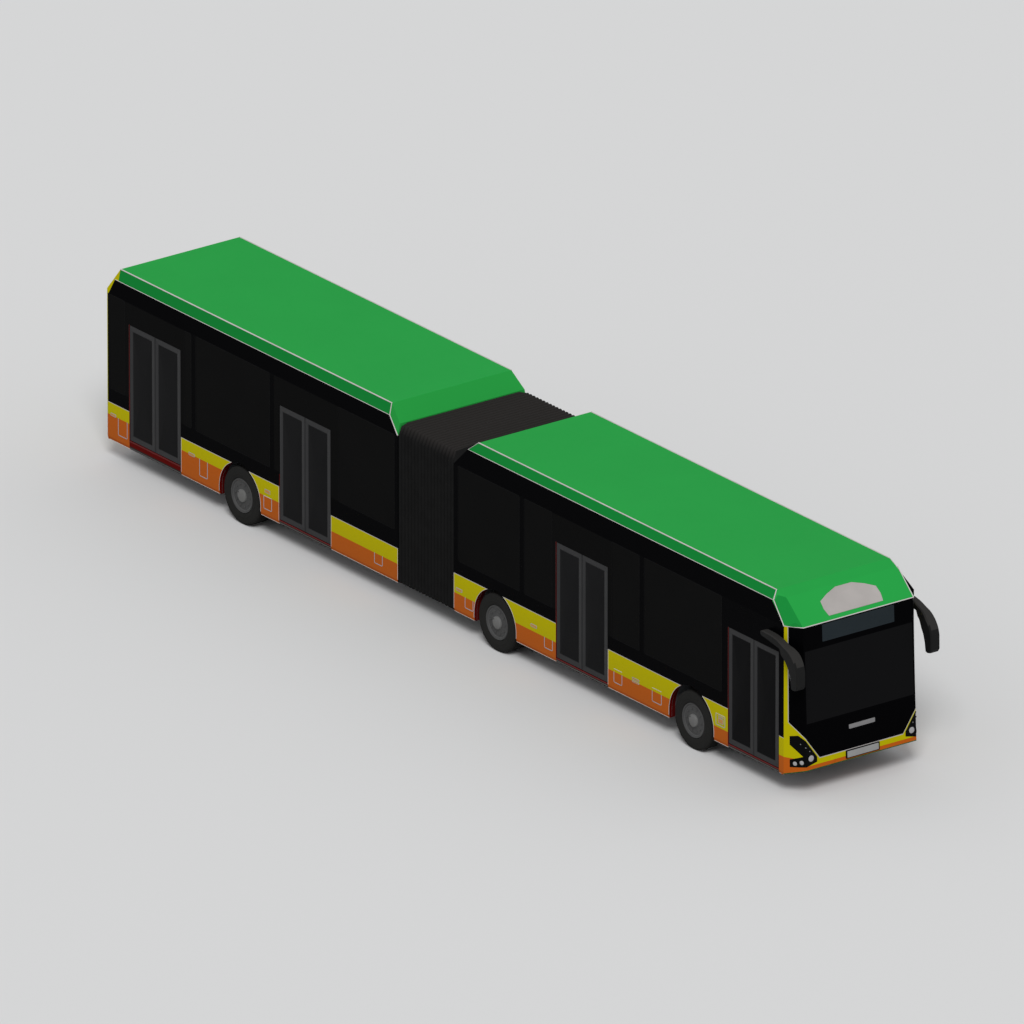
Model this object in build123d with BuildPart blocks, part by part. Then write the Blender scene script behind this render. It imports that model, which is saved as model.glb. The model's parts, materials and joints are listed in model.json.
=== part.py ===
from build123d import *
from math import sqrt
import os

os.makedirs("parts", exist_ok=True)

# Articulated low-floor city bus. +X is forward, +Y is the driver's left, Z = 0 is the road.
# All lengths are millimetres.

RIGHT = -1.0
LEFT = 1.0

# Body shell
FRONT_X = 9000.0
FRONT_TOP_X = 8885.0
REAR_X = -9280.0
HALF_WIDTH = 1275.0
SKIRT_Z = 350.0
TUCK_RISE = 50.0
TUCK_IN = 12.0
SILL_Z = 1240.0
WINDOW_TOP_Z = 2850.0
EAVES_Z = 2860.0
FRONT_CANT = (1207.0, 3170.0)
REAR_CANT = (1220.0, 3110.0)
ROOF_Z = 3307.0
FRONT_ROOF_HALF = 1110.0
REAR_ROOF_HALF = 1180.0
WALL = 60.0
ROOF_WALL = 50.0
INNER_HALF = HALF_WIDTH - WALL

# Lengthwise stations
MASK_X = 8580.0
CORNER_X = 8650.0
CORNER_IN = 195.0
CORNER_BULGE = 8.0
FRONT_CAR_END_X = 30.0
REAR_CAR_END_X = -1450.0
PIVOT_X = (FRONT_CAR_END_X + REAR_CAR_END_X) / 2
TAIL_X = -9180.0
TAIL_CORNER = 90.0

# Roof hoods
VISOR_BROW_X = 8240.0
VISOR_BREAK_X = 8460.0
VISOR_BREAK_Z = 3240.0
VISOR_LIP_X = 8900.0
HOOD_LENGTH = 440.0
HOOD_SHORT = 280.0
HOOD_LIP_Z = 3055.0
TAIL_RAKE = 300.0

# Floor
FLOOR_Z = 390.0
FLOOR_UNDER_Z = 330.0
RAIL_UNDER_Z = 270.0
DECK_FRONT_X = 8600.0
BELLY_Z = (475.0, 500.0)
RISER_X = 8668.0
RISER_THICK = 25.0
LIP_Z = 385.0
RAIL_Y = 330.0
RAIL_WIDTH = 90.0
JACK_PAD_R = 60.0
JACK_PAD_DEPTH = 15.0
FRONT_JACK_X = 7300.0
REAR_JACK_X = -4400.0
REAR_STEP = 80.0
REAR_STEP_X = -6390.0
RAMP_LENGTH = 500.0

# Running gear
FRONT_AXLE_X = 6260.0
MIDDLE_AXLE_X = 1120.0
REAR_AXLE_X = -5660.0
TYRE_R = 487.5
TYRE_WIDTH = 275.0
BEAD_R = 288.0
TYRE_OUTER_Y = 1255.0
TWIN_PITCH = 310.0
FRONT_ARCH_R = 585.0
TWIN_ARCH_R = 555.0
ARCH_FOOT_Z = SKIRT_Z - 50.0
BOX_SHEET = 25.0
FRONT_BOX_R = 625.0
FRONT_BOX_Y = 565.0
TWIN_BOX_R = 575.0
TWIN_BOX_Y = 625.0
KINGPIN_Y = 950.0
KINGPIN_R = 22.0
FIT = 0.05
SEAT_GAP = 0.3

# Doors: opening in the wall, and the gear of each leaf
LEAF_THICK = 40.0
LEAF_INSET = 8.0
JAMB_GAP = 16.0
CENTRE_GAP = 4.0
COLUMN_BACK = 48.0
GEAR_DEPTH = 108.0
ROLLER_BACK = 25.0
COLUMN_R = 20.0
STILE = 88.0
LEAF_RAIL = 100.0
GLASS = 8.0

GEAR_Y = HALF_WIDTH - GEAR_DEPTH


def polygon_face(points):
    """Closed outline of straight lines in the sketch that is open."""
    with BuildLine() as outline:
        Polyline(*points, close=True)
    make_face(outline.edges())


def arch_face(axle_x, radius, foot_z):
    """Wheel arch from the side: upright legs from foot_z to the hub, and a half circle over them."""
    with BuildLine() as outline:
        Polyline(
            (axle_x - radius, TYRE_R),
            (axle_x - radius, foot_z),
            (axle_x + radius, foot_z),
            (axle_x + radius, TYRE_R),
        )
        ThreePointArc((axle_x + radius, TYRE_R), (axle_x, TYRE_R + radius), (axle_x - radius, TYRE_R))
    make_face(outline.edges())


def nose_face(back_x, inset, front_x=FRONT_X):
    """Plan of the front end from back_x to front_x, its two corners rounded, moved in by inset."""
    half = HALF_WIDTH - inset
    front = front_x - inset
    flat = HALF_WIDTH - CORNER_IN - 0.4 * inset
    run = (front - CORNER_X, half - flat)
    bulge = CORNER_BULGE / sqrt(run[0] ** 2 + run[1] ** 2)
    knee = (CORNER_X + run[0] / 2 + bulge * run[1], flat + run[1] / 2 + bulge * run[0])
    with BuildLine() as outline:
        Polyline((CORNER_X, -half), (back_x, -half), (back_x, half), (CORNER_X, half))
        ThreePointArc((CORNER_X, half), knee, (front, flat))
        Line((front, flat), (front, -flat))
        ThreePointArc((front, -flat), (knee[0], -knee[1]), (CORNER_X, -half))
    make_face(outline.edges())


def visor_face(back_x, inset):
    """Plan of the visor over the front end: its lip stands at the eaves of the raked nose."""
    nose_face(back_x, inset, VISOR_LIP_X)


def tail_face(front_x, inset):
    """Plan of the tail from front_x rearward, its two corners rounded, moved in by inset."""
    half = HALF_WIDTH - inset
    rear = REAR_X + inset
    corner = max(TAIL_CORNER - inset, 20.0)
    with BuildLine() as outline:
        FilletPolyline(
            (front_x, -half), (rear, -half), (rear, half), (front_x, half),
            radius=corner,
        )
        Line((front_x, half), (front_x, -half))
    make_face(outline.edges())


def export(built, name):
    """Label one finished piece and write its file."""
    built.part.label = name
    export_step(built.part, f"parts/{name}.step")


# Roofs. Each is a shell whose side outline, cross-section and plan are cut from one block.

FRONT_ROOF_SIDE = [
    (FRONT_CAR_END_X, EAVES_Z),
    (FRONT_CAR_END_X + HOOD_SHORT, FRONT_CANT[1]),
    (VISOR_BROW_X, FRONT_CANT[1]),
    (CORNER_X, EAVES_Z),
    (VISOR_LIP_X, EAVES_Z),
    (VISOR_BREAK_X, VISOR_BREAK_Z),
    (VISOR_BROW_X, ROOF_Z),
    (FRONT_CAR_END_X + HOOD_LENGTH, ROOF_Z),
    (FRONT_CAR_END_X, HOOD_LIP_Z),
]
REAR_ROOF_SIDE = [
    (REAR_X, EAVES_Z),
    (TAIL_X, EAVES_Z),
    (TAIL_X + 100.0, REAR_CANT[1]),
    (REAR_CAR_END_X - HOOD_SHORT, REAR_CANT[1]),
    (REAR_CAR_END_X, EAVES_Z),
    (REAR_CAR_END_X, HOOD_LIP_Z),
    (REAR_CAR_END_X - HOOD_SHORT, ROOF_Z),
    (REAR_X + TAIL_RAKE, ROOF_Z),
]


def roof_block(side_outline, cant, roof_half, plan, plan_x, inset):
    """Solid under the roof skin, moved in by inset: side outline, cross-section and plan meet in it."""
    ends = [point[0] for point in side_outline]
    with BuildPart() as block:
        with BuildSketch(Plane.XZ):
            polygon_face(side_outline)
        extrude(amount=HALF_WIDTH, both=True)
        with BuildSketch(Plane.YZ.offset(min(ends) - 1.0)):
            polygon_face([
                (-(HALF_WIDTH - inset), EAVES_Z - WALL),
                (-(HALF_WIDTH - inset), EAVES_Z),
                (-(cant[0] - inset), cant[1]),
                (-(roof_half - inset), ROOF_Z - inset),
                (roof_half - inset, ROOF_Z - inset),
                (cant[0] - inset, cant[1]),
                (HALF_WIDTH - inset, EAVES_Z),
                (HALF_WIDTH - inset, EAVES_Z - WALL),
            ])
        extrude(amount=max(ends) - min(ends) + 2.0, mode=Mode.INTERSECT)
        with BuildSketch(Plane.XY.offset(EAVES_Z - WALL)):
            plan(plan_x, inset)
        extrude(amount=ROOF_Z, mode=Mode.INTERSECT)
    return block.part


def visor_corners(inset):
    """Wedges that cut the visor's corners to facets from the brow to the pillar, moved in by inset."""
    tilt = (0.345, -1.0, 0.686)
    plane = Plane((CORNER_X, -HALF_WIDTH, EAVES_Z), (1.0, 0.345, 0.0), tilt).offset(-inset)
    with BuildPart() as wedges:
        with BuildSketch(plane):
            Rectangle(2400.0, 2400.0)
        extrude(amount=600.0)
        mirror(about=Plane.XZ)
    return wedges.part


front_outer = roof_block(FRONT_ROOF_SIDE, FRONT_CANT, FRONT_ROOF_HALF, visor_face, 0.0, 0.0)
front_inner = roof_block(
    [
        (FRONT_CAR_END_X - 1.0, EAVES_Z - WALL),
        (VISOR_LIP_X - 90.0, EAVES_Z - WALL),
        (VISOR_LIP_X - 90.0, EAVES_Z + 15.0),
        (VISOR_BREAK_X - 30.0, VISOR_BREAK_Z - ROOF_WALL),
        (VISOR_BROW_X - 10.0, ROOF_Z - ROOF_WALL),
        (FRONT_CAR_END_X + HOOD_LENGTH + 10.0, ROOF_Z - ROOF_WALL),
        (FRONT_CAR_END_X - 1.0, HOOD_LIP_Z - ROOF_WALL),
    ],
    FRONT_CANT, FRONT_ROOF_HALF, visor_face, 0.0, ROOF_WALL,
)
rear_outer = roof_block(REAR_ROOF_SIDE, REAR_CANT, REAR_ROOF_HALF, tail_face, REAR_CAR_END_X + 1.0, 0.0)
rear_inner = roof_block(
    [
        (REAR_CAR_END_X + 1.0, EAVES_Z - WALL),
        (REAR_CAR_END_X + 1.0, HOOD_LIP_Z - ROOF_WALL),
        (REAR_CAR_END_X - HOOD_SHORT - 20.0, ROOF_Z - ROOF_WALL),
        (REAR_X + TAIL_RAKE + 20.0, ROOF_Z - ROOF_WALL),
        (REAR_X + ROOF_WALL + 10.0, EAVES_Z),
        (REAR_X + ROOF_WALL + 10.0, EAVES_Z - WALL),
    ],
    REAR_CANT, REAR_ROOF_HALF, tail_face, REAR_CAR_END_X + 2.0, ROOF_WALL,
)

# The passage's upper frame closes each roof over the bellows' mouth.
PASSAGE_HALF = 900.0
PASSAGE_TOP_Z = 2450.0
PASSAGE_FRAME = 60.0


def lintel(end_x, inward):
    """Plate across the top of the passage, between the two side walls' flanges."""
    start = min(end_x, end_x + inward * PASSAGE_FRAME)
    with BuildPart() as plate:
        with BuildSketch(Plane.YZ.offset(start)):
            polygon_face([
                (-PASSAGE_HALF, PASSAGE_TOP_Z),
                (-PASSAGE_HALF, HOOD_LIP_Z - 20.0),
                (PASSAGE_HALF, HOOD_LIP_Z - 20.0),
                (PASSAGE_HALF, PASSAGE_TOP_Z),
            ])
        extrude(amount=PASSAGE_FRAME)
    return plate.part


with BuildPart() as front_roof:
    add(front_outer)
    add(visor_corners(0.0), mode=Mode.SUBTRACT)
    add(front_inner - visor_corners(ROOF_WALL), mode=Mode.SUBTRACT)
    add(lintel(FRONT_CAR_END_X, 1.0))
export(front_roof, "front_roof")

with BuildPart() as rear_roof:
    add(rear_outer)
    add(rear_inner, mode=Mode.SUBTRACT)
    add(lintel(REAR_CAR_END_X, -1.0))
export(rear_roof, "rear_roof")

# Side walls. Window rows are (rear x, front x); door rows are (name, rear x, front x, sill z, top z).

FRONT_RIGHT_WINDOWS = [(150.0, 1760.0), (1890.0, 2620.0), (4180.0, 4900.0), (5030.0, 7040.0)]
FRONT_LEFT_WINDOWS = [(150.0, 1760.0), (1890.0, 4900.0), (5030.0, 7040.0), (7170.0, 8520.0)]
REAR_RIGHT_WINDOWS = [(-9160.0, -8740.0), (-7140.0, -6960.0), (-6840.0, -4860.0), (-3020.0, -1540.0)]
REAR_LEFT_WINDOWS = [(-9160.0, -6960.0), (-6840.0, -4860.0), (-4760.0, -3120.0), (-3020.0, -1540.0)]
FRONT_DOORS = [("door_1", 7210.0, 8530.0, 420.0, 2390.0), ("door_2", 2720.0, 4080.0, 420.0, 2390.0)]
REAR_DOORS = [("door_3", -4610.0, -3230.0, 420.0, 2390.0), ("door_4", -8630.0, -7240.0, 500.0, 2490.0)]
FRONT_ARCHES = [(FRONT_AXLE_X, FRONT_ARCH_R), (MIDDLE_AXLE_X, TWIN_ARCH_R)]
REAR_ARCHES = [(REAR_AXLE_X, TWIN_ARCH_R)]

HEADER_HEIGHT = 130.0
HEADER_GAP = 26.0
HEADER_DEPTH = 170.0
TRACK_WIDTH = 26.0
TRACK_DEPTH = 15.0
TRACK_START = 60.0
FLANGE_THICK = 60.0


def wall_outline(side, cant):
    """Section of one side wall: tucked skirt, upright side, leaning cant rail."""
    return [
        (side * (HALF_WIDTH - TUCK_IN), SKIRT_Z),
        (side * HALF_WIDTH, SKIRT_Z + TUCK_RISE),
        (side * HALF_WIDTH, EAVES_Z),
        (side * cant[0], cant[1]),
        (side * (cant[0] - WALL), cant[1]),
        (side * INNER_HALF, EAVES_Z),
        (side * INNER_HALF, SKIRT_Z),
    ]


def side_wall(side, span, cant, windows, doors, arches, roof_split, flange_x):
    """One side wall from span[0] to span[1], with its openings, door headers and passage flange."""
    with BuildPart() as wall:
        with BuildSketch(Plane.YZ.offset(span[0])):
            polygon_face(wall_outline(side, cant))
        extrude(amount=span[1] - span[0])
        with BuildSketch(Plane.YZ.offset(flange_x)):
            polygon_face([
                (side * PASSAGE_HALF, FLOOR_Z),
                (side * INNER_HALF, FLOOR_Z),
                (side * INNER_HALF, EAVES_Z),
                (side * (cant[0] - WALL), cant[1] - WALL),
                (side * PASSAGE_HALF, cant[1] - WALL),
            ])
        extrude(amount=FLANGE_THICK)
        with BuildSketch(Plane.XZ):
            for rear_x, front_x in windows:
                with Locations(((rear_x + front_x) / 2, (SILL_Z + WINDOW_TOP_Z) / 2)):
                    Rectangle(front_x - rear_x, WINDOW_TOP_Z - SILL_Z)
            for _, rear_x, front_x, sill_z, top_z in doors:
                with Locations(((rear_x + front_x) / 2, (sill_z + top_z) / 2)):
                    Rectangle(front_x - rear_x, top_z - sill_z)
            for axle_x, radius in arches:
                arch_face(axle_x, radius, ARCH_FOOT_Z)
            polygon_face(roof_split)
        extrude(amount=-side * 2 * HALF_WIDTH, mode=Mode.SUBTRACT)
        for _, rear_x, front_x, sill_z, top_z in doors:
            header_z = top_z + HEADER_GAP
            with BuildSketch(Plane.XY.offset(header_z)):
                with Locations(((rear_x + front_x) / 2, side * (INNER_HALF - HEADER_DEPTH / 2))):
                    Rectangle(front_x - rear_x + 160.0, HEADER_DEPTH)
            extrude(amount=HEADER_HEIGHT)
            with BuildSketch(Plane.XY.offset(header_z)):
                with Locations(((rear_x + front_x) / 2, side * GEAR_Y)):
                    Rectangle(front_x - rear_x - 2 * TRACK_START, TRACK_WIDTH)
            extrude(amount=TRACK_DEPTH, mode=Mode.SUBTRACT)
    return wall


FRONT_SPAN = (FRONT_CAR_END_X, MASK_X)
REAR_SPAN = (TAIL_X, REAR_CAR_END_X)
ABOVE_ROOF_Z = ROOF_Z + 100.0
FRONT_SPLIT = FRONT_ROOF_SIDE[:4] + [(CORNER_X, ABOVE_ROOF_Z), (FRONT_CAR_END_X, ABOVE_ROOF_Z)]
REAR_SPLIT = REAR_ROOF_SIDE[1:5] + [(REAR_CAR_END_X, ABOVE_ROOF_Z), (TAIL_X, ABOVE_ROOF_Z)]
SIDE_ROWS = [
    # name, side, span, cant rail, windows, doors, arches, roof split, flange x
    ("front_side_right", RIGHT, FRONT_SPAN, FRONT_CANT, FRONT_RIGHT_WINDOWS, FRONT_DOORS, FRONT_ARCHES,
     FRONT_SPLIT, FRONT_CAR_END_X),
    ("front_side_left", LEFT, FRONT_SPAN, FRONT_CANT, FRONT_LEFT_WINDOWS, [], FRONT_ARCHES,
     FRONT_SPLIT, FRONT_CAR_END_X),
    ("rear_side_right", RIGHT, REAR_SPAN, REAR_CANT, REAR_RIGHT_WINDOWS, REAR_DOORS, REAR_ARCHES,
     REAR_SPLIT, REAR_CAR_END_X - FLANGE_THICK),
    ("rear_side_left", LEFT, REAR_SPAN, REAR_CANT, REAR_LEFT_WINDOWS, [], REAR_ARCHES,
     REAR_SPLIT, REAR_CAR_END_X - FLANGE_THICK),
]
for name, *row in SIDE_ROWS:
    export(side_wall(*row), name)

# Front mask and tail: shells on the rounded plans, between the side walls and the roofs.

WINDSCREEN_HALF = 1055.0
WINDSCREEN_Z = (1200.0, 2835.0)
NOSE_RISE = ((8600.0, 350.0), (FRONT_X, 475.0))
LAMP_FACE = [
    (1227.0, 1028.0), (1152.0, 1055.0), (1083.0, 980.0), (868.0, 673.0), (868.0, 590.0), (1067.0, 543.0),
    (1227.0, 505.0), (1227.0, 635.0), (1110.0, 711.0), (1227.0, 883.0),
]
LAMP_DEPTH = 45.0
TOW_R = 30.0
TOW_Y = 560.0
TOW_Z = 540.0
REAR_WINDOW = (950.0, 1750.0, 2700.0)
FLAP = (800.0, 560.0, 1500.0)
FLAP_THICK = 40.0
FLAP_GAP = 5.0
FLAP_BARREL_R = 6.0
FLAP_DROP = 9.0
REAR_LAMP = (1020.0, 1150.0, 800.0, 1450.0)
TAIL_CHAMFER = (90.0, 110.0)
NOSE_CUT = 400.0


def rectangle_at(y, low_z, high_z, half):
    """Rectangle in a sketch on Plane.YZ, centred on y, from low_z to high_z."""
    with Locations((y, (low_z + high_z) / 2)):
        Rectangle(2 * half, high_z - low_z)


def nose_shell(outer_inset, inner_inset):
    """Front wall on the rounded nose plan, raked from the skirt to the eaves; its foot rises forward."""
    with BuildPart() as shell:
        for inset, mode in ((outer_inset, Mode.ADD), (inner_inset, Mode.SUBTRACT)):
            for z, front_x in ((SKIRT_Z, FRONT_X), (EAVES_Z, FRONT_TOP_X)):
                with BuildSketch(Plane.XY.offset(z)):
                    nose_face(MASK_X, inset, front_x)
            loft(ruled=True, mode=mode)
        with BuildSketch(Plane.XZ):
            polygon_face([
                *NOSE_RISE, (FRONT_X + 1.0, NOSE_RISE[1][1]), (FRONT_X + 1.0, 0.0), (NOSE_RISE[0][0], 0.0),
            ])
        extrude(amount=HALF_WIDTH + 1.0, both=True, mode=Mode.SUBTRACT)
    return shell.part


def tail_shell(outer_inset, inner_inset):
    """Upright rear wall on the rounded tail plan, from the skirt to the eaves."""
    with BuildPart() as shell:
        for inset, mode in ((outer_inset, Mode.ADD), (inner_inset, Mode.SUBTRACT)):
            with BuildSketch(Plane.XY.offset(SKIRT_Z)):
                tail_face(TAIL_X, inset)
            extrude(amount=EAVES_Z - SKIRT_Z, mode=mode)
    return shell.part


def lamp_prisms(clearance):
    """The headlamps' front outline on both sides, moved in by clearance and carried fore and aft."""
    with BuildPart() as prisms:
        with BuildSketch(Plane.YZ.offset(CORNER_X - 30.0)):
            for side in (RIGHT, LEFT):
                polygon_face([(side * y, z) for y, z in LAMP_FACE])
            if clearance > 0:
                offset(amount=-clearance, kind=Kind.INTERSECTION)
        extrude(amount=NOSE_CUT)
    return prisms.part


def windscreen_prism(clearance):
    """The windscreen's front outline, moved in by clearance and carried fore and aft."""
    with BuildPart() as prism:
        with BuildSketch(Plane.YZ.offset(CORNER_X)):
            low_z, high_z = WINDSCREEN_Z
            rectangle_at(0.0, low_z + clearance, high_z - clearance, WINDSCREEN_HALF - clearance)
        extrude(amount=NOSE_CUT)
    return prism.part


mask_shell = nose_shell(0.0, WALL)
lamp_shell = nose_shell(1.0, LAMP_DEPTH)
screen_shell = nose_shell(2.0, 2.0 + GLASS)
lamp_opening = lamp_prisms(0.0)
lamp_filling = lamp_prisms(SEAT_GAP)
screen_opening = windscreen_prism(0.0)
screen_filling = windscreen_prism(SEAT_GAP)

with BuildPart() as front_mask:
    # A belly plate with a riser and a lip closes the mask's underside, ahead of the open front door.
    lip_x = DECK_FRONT_X + SEAT_GAP
    with BuildSketch(Plane.XZ):
        polygon_face([
            (lip_x, NOSE_RISE[0][1]),
            (lip_x, LIP_Z),
            (RISER_X, LIP_Z),
            (RISER_X, BELLY_Z[1]),
            (FRONT_X, BELLY_Z[1]),
            (FRONT_X, BELLY_Z[0]),
            (RISER_X + RISER_THICK, BELLY_Z[0]),
            (RISER_X + RISER_THICK, LIP_Z - 5.0),
        ])
    extrude(amount=HALF_WIDTH, both=True)
    with BuildSketch(Plane.XY.offset(SKIRT_Z - 1.0)):
        nose_face(MASK_X, WALL / 2, FRONT_TOP_X + 50.0)
    extrude(amount=BELLY_Z[1], mode=Mode.INTERSECT)
    add(mask_shell)
    add(lamp_opening, mode=Mode.SUBTRACT)
    add(screen_opening, mode=Mode.SUBTRACT)
    with BuildSketch(Plane.YZ.offset(CORNER_X)):
        with Locations((-TOW_Y, TOW_Z)):
            Circle(TOW_R)
    extrude(amount=NOSE_CUT, mode=Mode.SUBTRACT)
export(front_mask, "front_mask")

with BuildPart() as headlamps:
    add(lamp_shell)
    add(lamp_filling, mode=Mode.INTERSECT)
export(headlamps, "headlamps")

with BuildPart() as tail:
    add(tail_shell(0.0, WALL))
    with BuildSketch(Plane.YZ.offset(REAR_X - 1.0)):
        rectangle_at(0.0, REAR_WINDOW[1], REAR_WINDOW[2], REAR_WINDOW[0])
        rectangle_at(0.0, FLAP[1], FLAP[2], FLAP[0])
        for side in (RIGHT, LEFT):
            inner_y, outer_y, low_z, high_z = REAR_LAMP
            rectangle_at(side * (inner_y + outer_y) / 2, low_z, high_z, (outer_y - inner_y) / 2)
    extrude(amount=2 * WALL, mode=Mode.SUBTRACT)
    with BuildSketch(Plane.XZ):
        polygon_face([
            (REAR_X - 1.0, SKIRT_Z - 1.0),
            (REAR_X + TAIL_CHAMFER[0], SKIRT_Z - 1.0),
            (REAR_X - 1.0, SKIRT_Z + TAIL_CHAMFER[1]),
        ])
    extrude(amount=HALF_WIDTH, both=True, mode=Mode.SUBTRACT)
export(tail, "tail")

with BuildPart() as rear_lamps:
    with BuildSketch(Plane.YZ.offset(REAR_X + 1.0)):
        for side in (RIGHT, LEFT):
            inner_y, outer_y, low_z, high_z = REAR_LAMP
            rectangle_at(
                side * (inner_y + outer_y) / 2, low_z + SEAT_GAP, high_z - SEAT_GAP,
                (outer_y - inner_y) / 2 - SEAT_GAP,
            )
    extrude(amount=LAMP_DEPTH)
export(rear_lamps, "rear_lamps")

# The flap's barrel lies in its top edge; its two ends bear on the sides of the opening.
FLAP_AXIS = (REAR_X + FLAP_BARREL_R, FLAP[2] - FLAP_DROP)
with BuildPart() as rear_flap:
    with BuildSketch(Plane.YZ.offset(REAR_X + 2.0)):
        rectangle_at(0.0, FLAP[1] + FLAP_GAP, FLAP_AXIS[1], FLAP[0] - FLAP_GAP)
    extrude(amount=FLAP_THICK)
    with BuildSketch(Plane.XZ):
        with Locations(FLAP_AXIS):
            Circle(FLAP_BARREL_R)
    extrude(amount=FLAP[0] - SEAT_GAP, both=True)
export(rear_flap, "rear_flap")

# Glazing: flat panes in the side openings, the curved windscreen and the rear window.


def side_panes(side, windows):
    """One pane for each side window, seated in its opening just behind the skin."""
    for rear_x, front_x in windows:
        with BuildSketch(Plane.XZ.offset(-side * (HALF_WIDTH - 2.0))) as pane:
            with Locations(((rear_x + front_x) / 2, (SILL_Z + WINDOW_TOP_Z) / 2)):
                Rectangle(front_x - rear_x - 2 * SEAT_GAP, WINDOW_TOP_Z - SILL_Z - 2 * SEAT_GAP)
        extrude(pane.sketch, amount=side * GLASS)


with BuildPart() as front_glazing:
    add(screen_shell)
    add(screen_filling, mode=Mode.INTERSECT)
    side_panes(RIGHT, FRONT_RIGHT_WINDOWS)
    side_panes(LEFT, FRONT_LEFT_WINDOWS)
export(front_glazing, "front_glazing")

with BuildPart() as rear_glazing:
    side_panes(RIGHT, REAR_RIGHT_WINDOWS)
    side_panes(LEFT, REAR_LEFT_WINDOWS)
    with BuildSketch(Plane.YZ.offset(REAR_X + 2.0)):
        rectangle_at(
            0.0, REAR_WINDOW[1] + SEAT_GAP, REAR_WINDOW[2] - SEAT_GAP, REAR_WINDOW[0] - SEAT_GAP,
        )
    extrude(amount=GLASS)
export(rear_glazing, "rear_glazing")

# Floors: a deck with two rails under it and a box over each wheel.


def wheel_boxes(axle_x, box_r, box_y, deck_under_z):
    """Wheel boxes of one axle: sheet half drums, closed on the inner side, open to the arch."""
    for sheet, mode in ((BOX_SHEET, Mode.ADD), (0.0, Mode.SUBTRACT)):
        for side in (RIGHT, LEFT):
            foot_z = deck_under_z if mode == Mode.ADD else RAIL_UNDER_Z - 1.0
            outer_y = INNER_HALF if mode == Mode.ADD else INNER_HALF + 1.0
            with BuildSketch(Plane.XZ.offset(-side * (box_y - sheet))) as drum:
                arch_face(axle_x, box_r + sheet, foot_z)
            extrude(drum.sketch, amount=-side * (outer_y - box_y + sheet), mode=mode)


def rails(rear_x, front_x, pad_x):
    """Two lengthwise rails under the deck, each with a round jacking pad at pad_x."""
    with BuildSketch(Plane.XY.offset(RAIL_UNDER_Z)) as pair:
        with Locations(*[((rear_x + front_x) / 2, side * RAIL_Y) for side in (RIGHT, LEFT)]):
            Rectangle(front_x - rear_x, RAIL_WIDTH)
    extrude(pair.sketch, amount=FLOOR_UNDER_Z - RAIL_UNDER_Z)
    with BuildSketch(Plane.XY.offset(RAIL_UNDER_Z - JACK_PAD_DEPTH)) as pads:
        with Locations(*[(pad_x, side * RAIL_Y) for side in (RIGHT, LEFT)]):
            Circle(JACK_PAD_R)
    extrude(pads.sketch, amount=JACK_PAD_DEPTH)


TONGUE_HALF = 300.0
RING_R = 720.0
with BuildPart() as front_floor:
    with BuildSketch(Plane.XY.offset(FLOOR_UNDER_Z)):
        with Locations(((FRONT_CAR_END_X + DECK_FRONT_X) / 2, 0.0)):
            Rectangle(DECK_FRONT_X - FRONT_CAR_END_X, 2 * INNER_HALF)
    extrude(amount=FLOOR_Z - FLOOR_UNDER_Z)
    rails(FRONT_CAR_END_X, CORNER_X - 250.0, FRONT_JACK_X)
    wheel_boxes(FRONT_AXLE_X, FRONT_BOX_R, FRONT_BOX_Y, FLOOR_UNDER_Z)
    wheel_boxes(MIDDLE_AXLE_X, TWIN_BOX_R, TWIN_BOX_Y, FLOOR_UNDER_Z)
export(front_floor, "front_floor")

with BuildPart() as rear_floor:
    with BuildSketch(Plane.XZ):
        polygon_face([
            (REAR_CAR_END_X, FLOOR_UNDER_Z),
            (REAR_CAR_END_X, FLOOR_Z),
            (REAR_STEP_X, FLOOR_Z),
            (REAR_STEP_X - RAMP_LENGTH, FLOOR_Z + REAR_STEP),
            (TAIL_X, FLOOR_Z + REAR_STEP),
            (TAIL_X, FLOOR_UNDER_Z + REAR_STEP),
            (REAR_STEP_X - RAMP_LENGTH, FLOOR_UNDER_Z + REAR_STEP),
            (REAR_STEP_X, FLOOR_UNDER_Z),
        ])
    extrude(amount=INNER_HALF, both=True)
    rails(REAR_STEP_X + 50.0, REAR_CAR_END_X, REAR_JACK_X)
    wheel_boxes(REAR_AXLE_X, TWIN_BOX_R, TWIN_BOX_Y, FLOOR_UNDER_Z)
export(rear_floor, "rear_floor")

# Wheels. Profiles are (radius, distance outward from the tyre's inner face).

TYRE_PROFILE = [
    (BEAD_R, 28.0), (BEAD_R + 14.0, 8.0), (BEAD_R + 90.0, 0.0), (TYRE_R - 28.0, 10.0),
    (TYRE_R - 7.0, 26.0), (TYRE_R, 50.0), (TYRE_R, TYRE_WIDTH - 50.0), (TYRE_R - 7.0, TYRE_WIDTH - 26.0),
    (TYRE_R - 28.0, TYRE_WIDTH - 10.0), (BEAD_R + 90.0, TYRE_WIDTH), (BEAD_R + 14.0, TYRE_WIDTH - 8.0),
    (BEAD_R, TYRE_WIDTH - 28.0),
]
RIM_SHEET = 16.0
BARREL_R = BEAD_R - SEAT_GAP
COVER_R = BARREL_R - RIM_SHEET
COVER_SET = 40.0
HUB_R = 95.0
HUB_OUT = 34.0
STUB_REACH = 215.0


def wheel_plane(axle_x, side, inner_y):
    """Plane on the wheel's own axis: x is the radius, y runs outward from the tyre's inner face."""
    return Plane((axle_x, side * inner_y, TYRE_R), x_dir=(0.0, 0.0, 1.0), z_dir=(-side, 0.0, 0.0))


def spin_profile(plane, points, mode=Mode.ADD):
    """Turn one closed profile about its plane's own y axis."""
    with BuildSketch(plane) as profile:
        polygon_face(points)
    revolve(profile.sketch, axis=Axis(plane.origin, plane.y_dir), mode=mode)


def tyre(name, axle_x, side, inner_faces):
    """Tyres of one wheel: each a closed ring of straight and coned bands."""
    with BuildPart() as built:
        for inner_y in inner_faces:
            spin_profile(wheel_plane(axle_x, side, inner_y), TYRE_PROFILE)
    export(built, f"{name}_tyre")


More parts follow.
